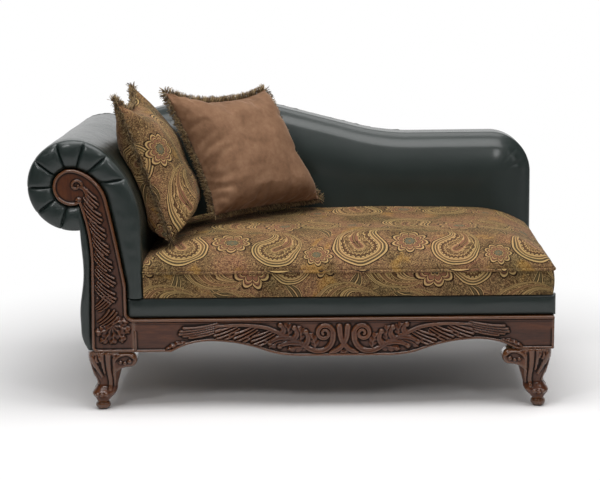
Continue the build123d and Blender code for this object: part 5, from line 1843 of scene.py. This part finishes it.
@dataclass
class Pillow:
    """Where a pillow stands, its size, how full each face is, and how its sides and corners are drawn."""

    middle: np.ndarray
    ways: tuple
    size: tuple
    slump: float
    crowns: tuple
    sag: float
    fullness: tuple
    draw_in: tuple
    corners: tuple
    seed: int

    def __post_init__(self):
        self.across, self.up = self.ways
        self.normal = np.cross(self.across, self.up)

    def outline(self, a, b):
        """Place in the pillow's own plane for shares from -1 to 1 across and up."""
        x = a * (self.size[0] / 2 - self.draw_in[0] * (1 - b**2))
        y = b * (self.size[1] / 2 - np.where(b > 0, self.draw_in[1], self.draw_in[2]) * (1 - a**2))
        x = x - b * self.slump / 2
        for (side, end), (shift_x, shift_y) in zip(CORNERS, self.corners):
            weight = np.clip(side * a, 0, 1) ** 3 * np.clip(end * b, 0, 1) ** 3
            x = x + shift_x * weight
            y = y + shift_y * weight
        return x, y

    def dome(self, a, b):
        """Share of a face's fullness, fuller below the middle."""
        power = np.where(b > 0, *self.fullness)
        return np.sqrt(np.clip((1 - a**4) * (1 - np.abs(b) ** power), 0, None)) * (1 - self.sag * b)

    def at(self, x, y, lift):
        """Points in the room for places in the pillow's plane and lifts from it."""
        flat = self.middle + x[..., None] * self.across + y[..., None] * self.up
        return flat + lift[..., None] * self.normal


def pillow_cover(name, pillow, finish, tugs):
    """Two full faces sewn round their edge, with gathers along the seam, blown up as cloth."""
    turn = np.linspace(-1, 1, PILLOW_STEPS) * math.pi / 2 * SEAM_CROWDING
    share = np.sin(turn) / math.sin(math.pi / 2 * SEAM_CROWDING)
    a, b = np.meshgrid(share, share, indexing="ij")
    x, y = pillow.outline(a, b)
    dome = pillow.dome(a, b)
    flat = np.stack((x, y), -1)
    near = np.minimum(1 - np.abs(a), 1 - np.abs(b))
    along_edge = np.where(1 - np.abs(a) < 1 - np.abs(b), y, x)
    shell = Shell()
    for side, crown in zip((1, -1), pillow.crowns):
        seam_place = np.stack((along_edge, np.full_like(a, 0.15 * side)), -1)
        gathers = ripples(seam_place, 0.040, pillow.seed + side)
        pucker = 0.0045 * gathers * np.exp(-near / 0.13) * ease(0.0, 0.05, near)
        slack = 0.005 * ripples(flat, 0.17, pillow.seed + 5 * side) * dome
        fan = np.sin(24 * np.arctan2(b + 0.30, a + 1.55) + 3 * ripples(flat, 0.15, pillow.seed + 9))
        pulled = tugs * fan * np.exp(-(1 + a) / 0.40) * ease(0.0, 0.10, near) * ease(-0.45, 0.0, -b)
        lift = side * (crown * dome * 0.96 + pucker + slack + pulled)
        lift = np.where(dome <= 0, 0.0, lift)
        points = pillow.at(x, y, lift)
        shell.grid(points, grid_runs(points) + (0.31 if side > 0 else 0.85, 0.30))
    cover = shell.make(name, finish)
    blow_up(cover, pillow)
    soft = cover.modifiers.new("soft", "SUBSURF")
    soft.levels = 1
    soft.render_levels = 1
    return cover


def grid_runs(points):
    """Lengths along a grid of points, from its middle."""
    runs = []
    for axis in (0, 1):
        steps = np.linalg.norm(np.diff(points, axis=axis), axis=-1)
        run = np.insert(np.cumsum(steps, axis), 0, 0.0, axis)
        runs.append(run - np.take(run, [run.shape[axis] // 2], axis))
    return np.stack(runs, -1)


def blow_up(obj, pillow):
    """Let pressure round out a cover of slack cloth that is held along its seam, within a limit."""
    before = points_of(obj.data)
    sewn = np.abs((before - pillow.middle) @ pillow.normal) < 0.0001
    seam = obj.vertex_groups.new(name="seam")
    seam.add(np.flatnonzero(sewn).tolist(), 1.0, "REPLACE")
    cloth = obj.modifiers.new("cloth", "CLOTH")
    for name, value in CLOTH_SETTINGS.items():
        setattr(cloth.settings, name, value)
    cloth.settings.effector_weights.gravity = 0.0
    cloth.collision_settings.use_collision = False
    scene = bpy.context.scene
    scene.frame_start = 1
    scene.frame_end = CLOTH_FRAMES
    for step in range(1, CLOTH_FRAMES + 1):
        scene.frame_set(step)
    evaluated = obj.evaluated_get(bpy.context.evaluated_depsgraph_get())
    moved = points_of(evaluated.data) - before
    obj.modifiers.remove(cloth)
    obj.vertex_groups.clear()
    scene.frame_set(1)
    size = np.linalg.norm(moved, axis=1)[:, None]
    move_points(obj.data, before + moved * np.minimum(1, CLOTH_LIMIT / np.maximum(size, 1e-9)))


def press_on_arm(obj, gap):
    """Flatten a cover where it lies against the arm."""
    side = arm_side(BAND_TOP)
    points = points_of(obj.data)
    limit = np.interp(points[:, 2], side[:, 1], side[:, 0], right=X_LEFT) + gap
    points[:, 0] = np.maximum(points[:, 0], limit)
    move_points(obj.data, points)


def seam_loop(pillow, count):
    """Seam of a pillow as evenly spaced points in its plane, with the ways that point out of it."""
    t = np.linspace(-1, 1, 160, endpoint=False)
    one = np.ones_like(t)
    a = np.concatenate((t, one, -t, -one))
    b = np.concatenate((-one, t, one, -t))
    ring = np.column_stack(pillow.outline(a, b))
    ring = np.vstack((ring, ring[:1]))
    flat = at(ring, np.linspace(0, lengths(ring)[-1], count, endpoint=False))
    return flat, right_of(np.roll(flat, -1, 0) - np.roll(flat, 1, 0))


def brush_fringe(name, pillow, seed):
    """Brush fringe sewn into a seam: tapered strands that fan out round it, shorter where they hang."""
    flat, away = seam_loop(pillow, 480)
    roots = flat - FRINGE_ROOT * away
    points = pillow.at(roots[:, 0], roots[:, 1], np.zeros(len(roots)))
    outward = away[:, :1] * pillow.across + away[:, 1:] * pillow.up
    base = wire(name, points, closed=True)
    layer = base.data.attributes.new("outward", "FLOAT_VECTOR", "POINT")
    layer.data.foreach_set("vector", outward.astype(np.float32).ravel())

    rule = Rule(name + "_rule")
    length = rule.size("Strand length", FRINGE_LENGTH)
    radius = rule.size("Strand radius", STRAND_R)
    number = rule.size("Strands", FRINGE_STRANDS, "NodeSocketInt")
    spread = rule.size("Spread", STRAND_SPREAD)
    choice = rule.size("Seed", seed, "NodeSocketInt")
    along_seam = {"Curve": rule.curve(), "Count": number}
    spots = rule.node("GeometryNodeCurveToPoints", {"mode": "COUNT"}, along_seam)
    way = rule.node("GeometryNodeInputNamedAttribute", {"data_type": "FLOAT_VECTOR"}, {"Name": "outward"})
    anywhere = {"Min": (-1.0, -1.0, -1.0), "Max": (1.0, 1.0, 1.0), "Seed": choice}
    scatter = rule.node("FunctionNodeRandomValue", {"data_type": "FLOAT_VECTOR"}, anywhere)
    aim = way.plus(scatter.scaled(spread))
    turned = rule.node("FunctionNodeAlignRotationToVector", {"axis": "Z"}, {"Vector": aim})
    taper = {"Radius Top": radius * 0.55, "Radius Bottom": radius, "Depth": length}
    strand = rule.node("GeometryNodeMeshCone", inputs={"Vertices": 5, "Side Segments": 2, **taper})

    def any_number(low, high, number_seed):
        inputs = {2: low, 3: high, "Seed": number_seed}
        return rule.node("FunctionNodeRandomValue", {"data_type": "FLOAT"}, inputs, output=1)

    ragged = any_number(0.76, 1.0, choice)
    droop = {"From Min": -0.85, "From Max": -0.35, "To Min": 0.78, "To Max": 1.0}
    hanging = rule.node("ShaderNodeMapRange", inputs={"Value": way.part(2), **droop})
    stand = {"Instance": strand, "Rotation": turned, "Scale": ragged * hanging}
    placed = rule.node("GeometryNodeInstanceOnPoints", inputs={"Points": spots, **stand})
    tone = any_number(0.0, 1.0, choice + 3.0)
    toned = rule.node(
        "GeometryNodeStoreNamedAttribute",
        {"data_type": "FLOAT", "domain": "INSTANCE"},
        {"Geometry": placed, "Name": "strand_tone", "Value": tone},
    )
    loose = rule.node("GeometryNodeRealizeInstances", inputs={0: toned})
    curl = rule.node("ShaderNodeTexNoise", inputs={"Scale": 90.0, "Detail": 1.0}, output=1)
    bent = curl.minus((0.5, 0.5, 0.5)).scaled(STRAND_WAVE)
    waved = rule.node("GeometryNodeSetPosition", inputs={"Geometry": loose, "Offset": bent})
    return rule.make(base, waved, YARN)


def pillow_frame(yaw_deg, lean_deg):
    """Ways across and up a pillow that faces the front, turned by a yaw and leaning back."""
    yaw, lean = math.radians(yaw_deg), math.radians(lean_deg)
    across = np.array((math.cos(yaw), math.sin(yaw), 0.0))
    normal = np.array((math.cos(lean) * math.sin(yaw), -math.cos(lean) * math.cos(yaw), math.sin(lean)))
    return across, np.cross(normal, across)


def box_middle(node):
    low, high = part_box(node)
    return np.array((low + high) / 2)


def dressed_pillow(name, pillow, finish, slot, tugs, seed, arm_gap=None):
    """Cover and fringe of a pillow; one that leans on the arm is flattened there."""
    body = name + "_pillow"
    node = "pillow_" + name
    cover = pillow_cover(body + "_cover", pillow, finish, tugs)
    if arm_gap:
        press_on_arm(cover, arm_gap)
    settle(cover, body, slot, node)
    settle(brush_fringe(body + "_fringe", pillow, seed), body, "fringe_yarn", node + "_fringe")


def pillows():
    paisley = Pillow(
        middle=box_middle("pillow_paisley_fringe"),
        ways=pillow_frame(90.0, 20.0),
        size=(0.470, 0.470),
        slump=0.0,
        crowns=(0.126, 0.098),
        sag=0.08,
        fullness=(2.8, 9.0),
        draw_in=(0.014, 0.036, 0.010),
        corners=((-0.010, -0.016), (0.0, 0.0), (-0.012, 0.030), (0.006, 0.030)),
        seed=61,
    )
    dressed_pillow("paisley", paisley, PAISLEY, "paisley_cloth", tugs=0.0, seed=5, arm_gap=0.004)
    brown = Pillow(
        middle=box_middle("pillow_brown_fringe"),
        ways=pillow_frame(40.0, 22.0),
        size=(0.438, 0.428),
        slump=0.086,
        crowns=(0.106, 0.060),
        sag=0.06,
        fullness=(4.0, 4.0),
        draw_in=(0.012, 0.020, 0.010),
        corners=((-0.016, 0.0), (0.024, 0.008), (-0.010, 0.034), (-0.014, 0.012)),
        seed=71,
    )
    dressed_pillow("brown", brown, SUEDE, "brown_suede", tugs=0.0045, seed=9)


# Pieces whose solids already have the right shape

FRAME_BOARDS = (
    "front_rail", "back_rail", "right_end_rail", "arm_seat_rail", "left_end_rail", "center_brace",
    "corner_blocks", "arm_front_board", "arm_rear_board", "arm_slats", "back_top_rail", "back_posts",
)
METAL = ("seat_springs", "spring_clips", "leg_bolts", "leg_plates")


def coat_solids():
    timber = board_finish("frame_timber", (0.46, 0.32, 0.18), (0.30, 0.18, 0.085))
    pegs = board_finish("dowel_timber", (0.50, 0.38, 0.22), (0.38, 0.26, 0.13))
    deck = mat_finish("deck_cloth", (0.030, 0.028, 0.026), (0.060, 0.056, 0.052), 900.0)
    dust = mat_finish("dust_cloth", (0.010, 0.010, 0.010), (0.028, 0.028, 0.028), 1100.0)
    steel_tones = ((0.20, 0.20, 0.19), (0.42, 0.41, 0.39))
    steel = scuffed_finish("spring_steel", *steel_tones, 120.0, 0.5, 0.32, Metallic=1.0)
    glide_tones = ((0.012, 0.011, 0.010), (0.035, 0.033, 0.031))
    plastic = scuffed_finish("glide_plastic", *glide_tones, 240.0, 0.7, 0.42, IOR=1.5)
    coats = (
        (timber, FRAME_BOARDS),
        (pegs, ("frame_dowels",)),
        (deck, ("seat_deck",)),
        (dust, ("dust_cover",)),
        (steel, METAL),
        (plastic, ("leg_glides",)),
        (PANEL_WOOD, ("leg_rear_left", "leg_rear_right")),
    )
    for finish, names in coats:
        for name in names:
            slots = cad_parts[name].data.materials
            slots.clear()
            slots.append(finish.material)


# Studio

CAMERA_PLACE = Vector((0.14314, -5.71871, 1.54353))
CAMERA_PITCH_DEG = 10.344
CAMERA_YAW_DEG = 1.268
CAMERA_ROLL_DEG = -0.816
CAMERA_LENS = 97.75
FLOOR_RADII = np.array((0.0, 1.5, 3.0, 6.0, 15.0, 90.0))
FLOOR_COLOUR = (0.86, 0.85, 0.85, 1.0)
FLOOR_WHITE_FROM = 0.85
FLOOR_WHITE_BY = 2.0
ROOM_GLOW = 0.11
WALL_GLOW = 0.50


def camera():
    data = bpy.data.cameras.new("camera")
    data.lens = CAMERA_LENS
    data.sensor_width = 36.0
    obj = link(bpy.data.objects.new("camera", data))
    turn = Matrix.Identity(4)
    for degrees, axis in ((CAMERA_YAW_DEG, "Z"), (90 - CAMERA_PITCH_DEG, "X"), (CAMERA_ROLL_DEG, "Z")):
        turn @= Matrix.Rotation(math.radians(degrees), 4, axis)
    obj.matrix_world = Matrix.Translation(CAMERA_PLACE) @ turn
    bpy.context.scene.camera = obj


def rays(tree):
    """Whether a ray is seen straight or through glass, and whether it is mirrored."""
    path = tree.nodes.new("ShaderNodeLightPath")
    kinds = ("Is Camera Ray", "Is Transmission Ray", "Is Glossy Ray")
    straight, through, mirrored = (Field(tree, path.outputs[kind]) for kind in kinds)
    return straight.higher(through), mirrored


def floor():
    """Wide pale floor that keeps the shadow near the object and runs out to white."""
    turn = np.linspace(0, 2 * math.pi, 97)
    radii = FLOOR_RADII[:, None]
    points = np.stack((radii * np.cos(turn), radii * np.sin(turn), 0 * radii * turn), -1)
    finish = Finish("studio_floor", Roughness=0.9, Specular_IOR_Level=0.1, Base_Color=FLOOR_COLOUR)
    obj = open_sheet("floor", finish, [points], (0, 0, -1))
    where = finish.node("ShaderNodeTexCoord", output="Object")
    reach = finish.node("ShaderNodeVectorMath", {"operation": "LENGTH"}, {0: where}, output=1)
    seen, mirrored = rays(finish.tree)
    seen = seen.higher(mirrored * where.part(1).window(0.5, 2.5))
    white = finish.node("ShaderNodeEmission", inputs={"Color": (1.0, 1.0, 1.0, 1.0), "Strength": 1.0})
    shader = Field(finish.tree, finish.shader.outputs[0])
    share = seen * reach.window(FLOOR_WHITE_FROM, FLOOR_WHITE_BY)
    mixed = finish.node("ShaderNodeMixShader", inputs={0: share, 1: shader, 2: white})
    finish.tree.links.new(mixed.socket, finish.tree.nodes["Material Output"].inputs["Surface"])


def lamp(name, place, target, size, watts):
    data = bpy.data.lights.new(name, "AREA")
    data.shape = "RECTANGLE"
    data.size, data.size_y = size
    data.energy = watts
    obj = link(bpy.data.objects.new(name, data))
    obj.location = place
    obj.rotation_mode = "QUATERNION"
    obj.rotation_quaternion = (Vector(target) - Vector(place)).to_track_quat("-Z", "Y")


def studio():
    """White all round for the camera, a bright wall behind the object and a wide soft box above it."""
    scene = bpy.context.scene
    scene.view_settings.view_transform = "Standard"
    world = bpy.data.worlds.new("studio")
    world.use_nodes = True
    scene.world = world
    tree = world.node_tree
    seen, mirrored = rays(tree)
    way = seen.node("ShaderNodeTexCoord", output="Generated")
    wall = way.part(1).window(-0.1, 0.8)
    strength = seen.higher(mirrored * wall).higher(ROOM_GLOW + wall * WALL_GLOW)
    background = tree.nodes["Background"]
    background.inputs["Color"].default_value = (1.0, 1.0, 1.0, 1.0)
    tree.links.new(strength.socket, background.inputs["Strength"])
    lamp("overhead", (0.1, -0.9, 3.6), (0.0, -0.1, 0.4), (4.2, 2.4), 150.0)
    lamp("front_left", (-1.5, -3.2, 3.0), (-0.3, 0.0, 0.5), (0.7, 0.7), 26.0)
    lamp("front_right", (1.8, -3.4, 2.8), (0.2, 0.0, 0.5), (0.7, 0.7), 20.0)
    lamp("side_fill", (4.2, -2.2, 2.2), (0.3, 0.0, 0.5), (1.6, 1.8), 12.0)


arm_cover()
arm_padding()
pleated_border()
rear_cover()
scroll_panel()
apron()
for leg_name, way in (("leg_front_left", 1), ("leg_front_right", -1)):
    leg_low, leg_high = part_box(leg_name)
    leg_x = leg_low.x + LEG_SECTIONS[-1, 1] if way > 0 else leg_high.x - LEG_SECTIONS[-1, 1]
    front_leg(leg_name, leg_x, leg_low.y + LEG_SECTIONS[-1, 3], way)
back_pad()
outside_back()
end_and_band()
seat_cushion()
seat_welt()
pillows()
coat_solids()
camera()
floor()
studio()
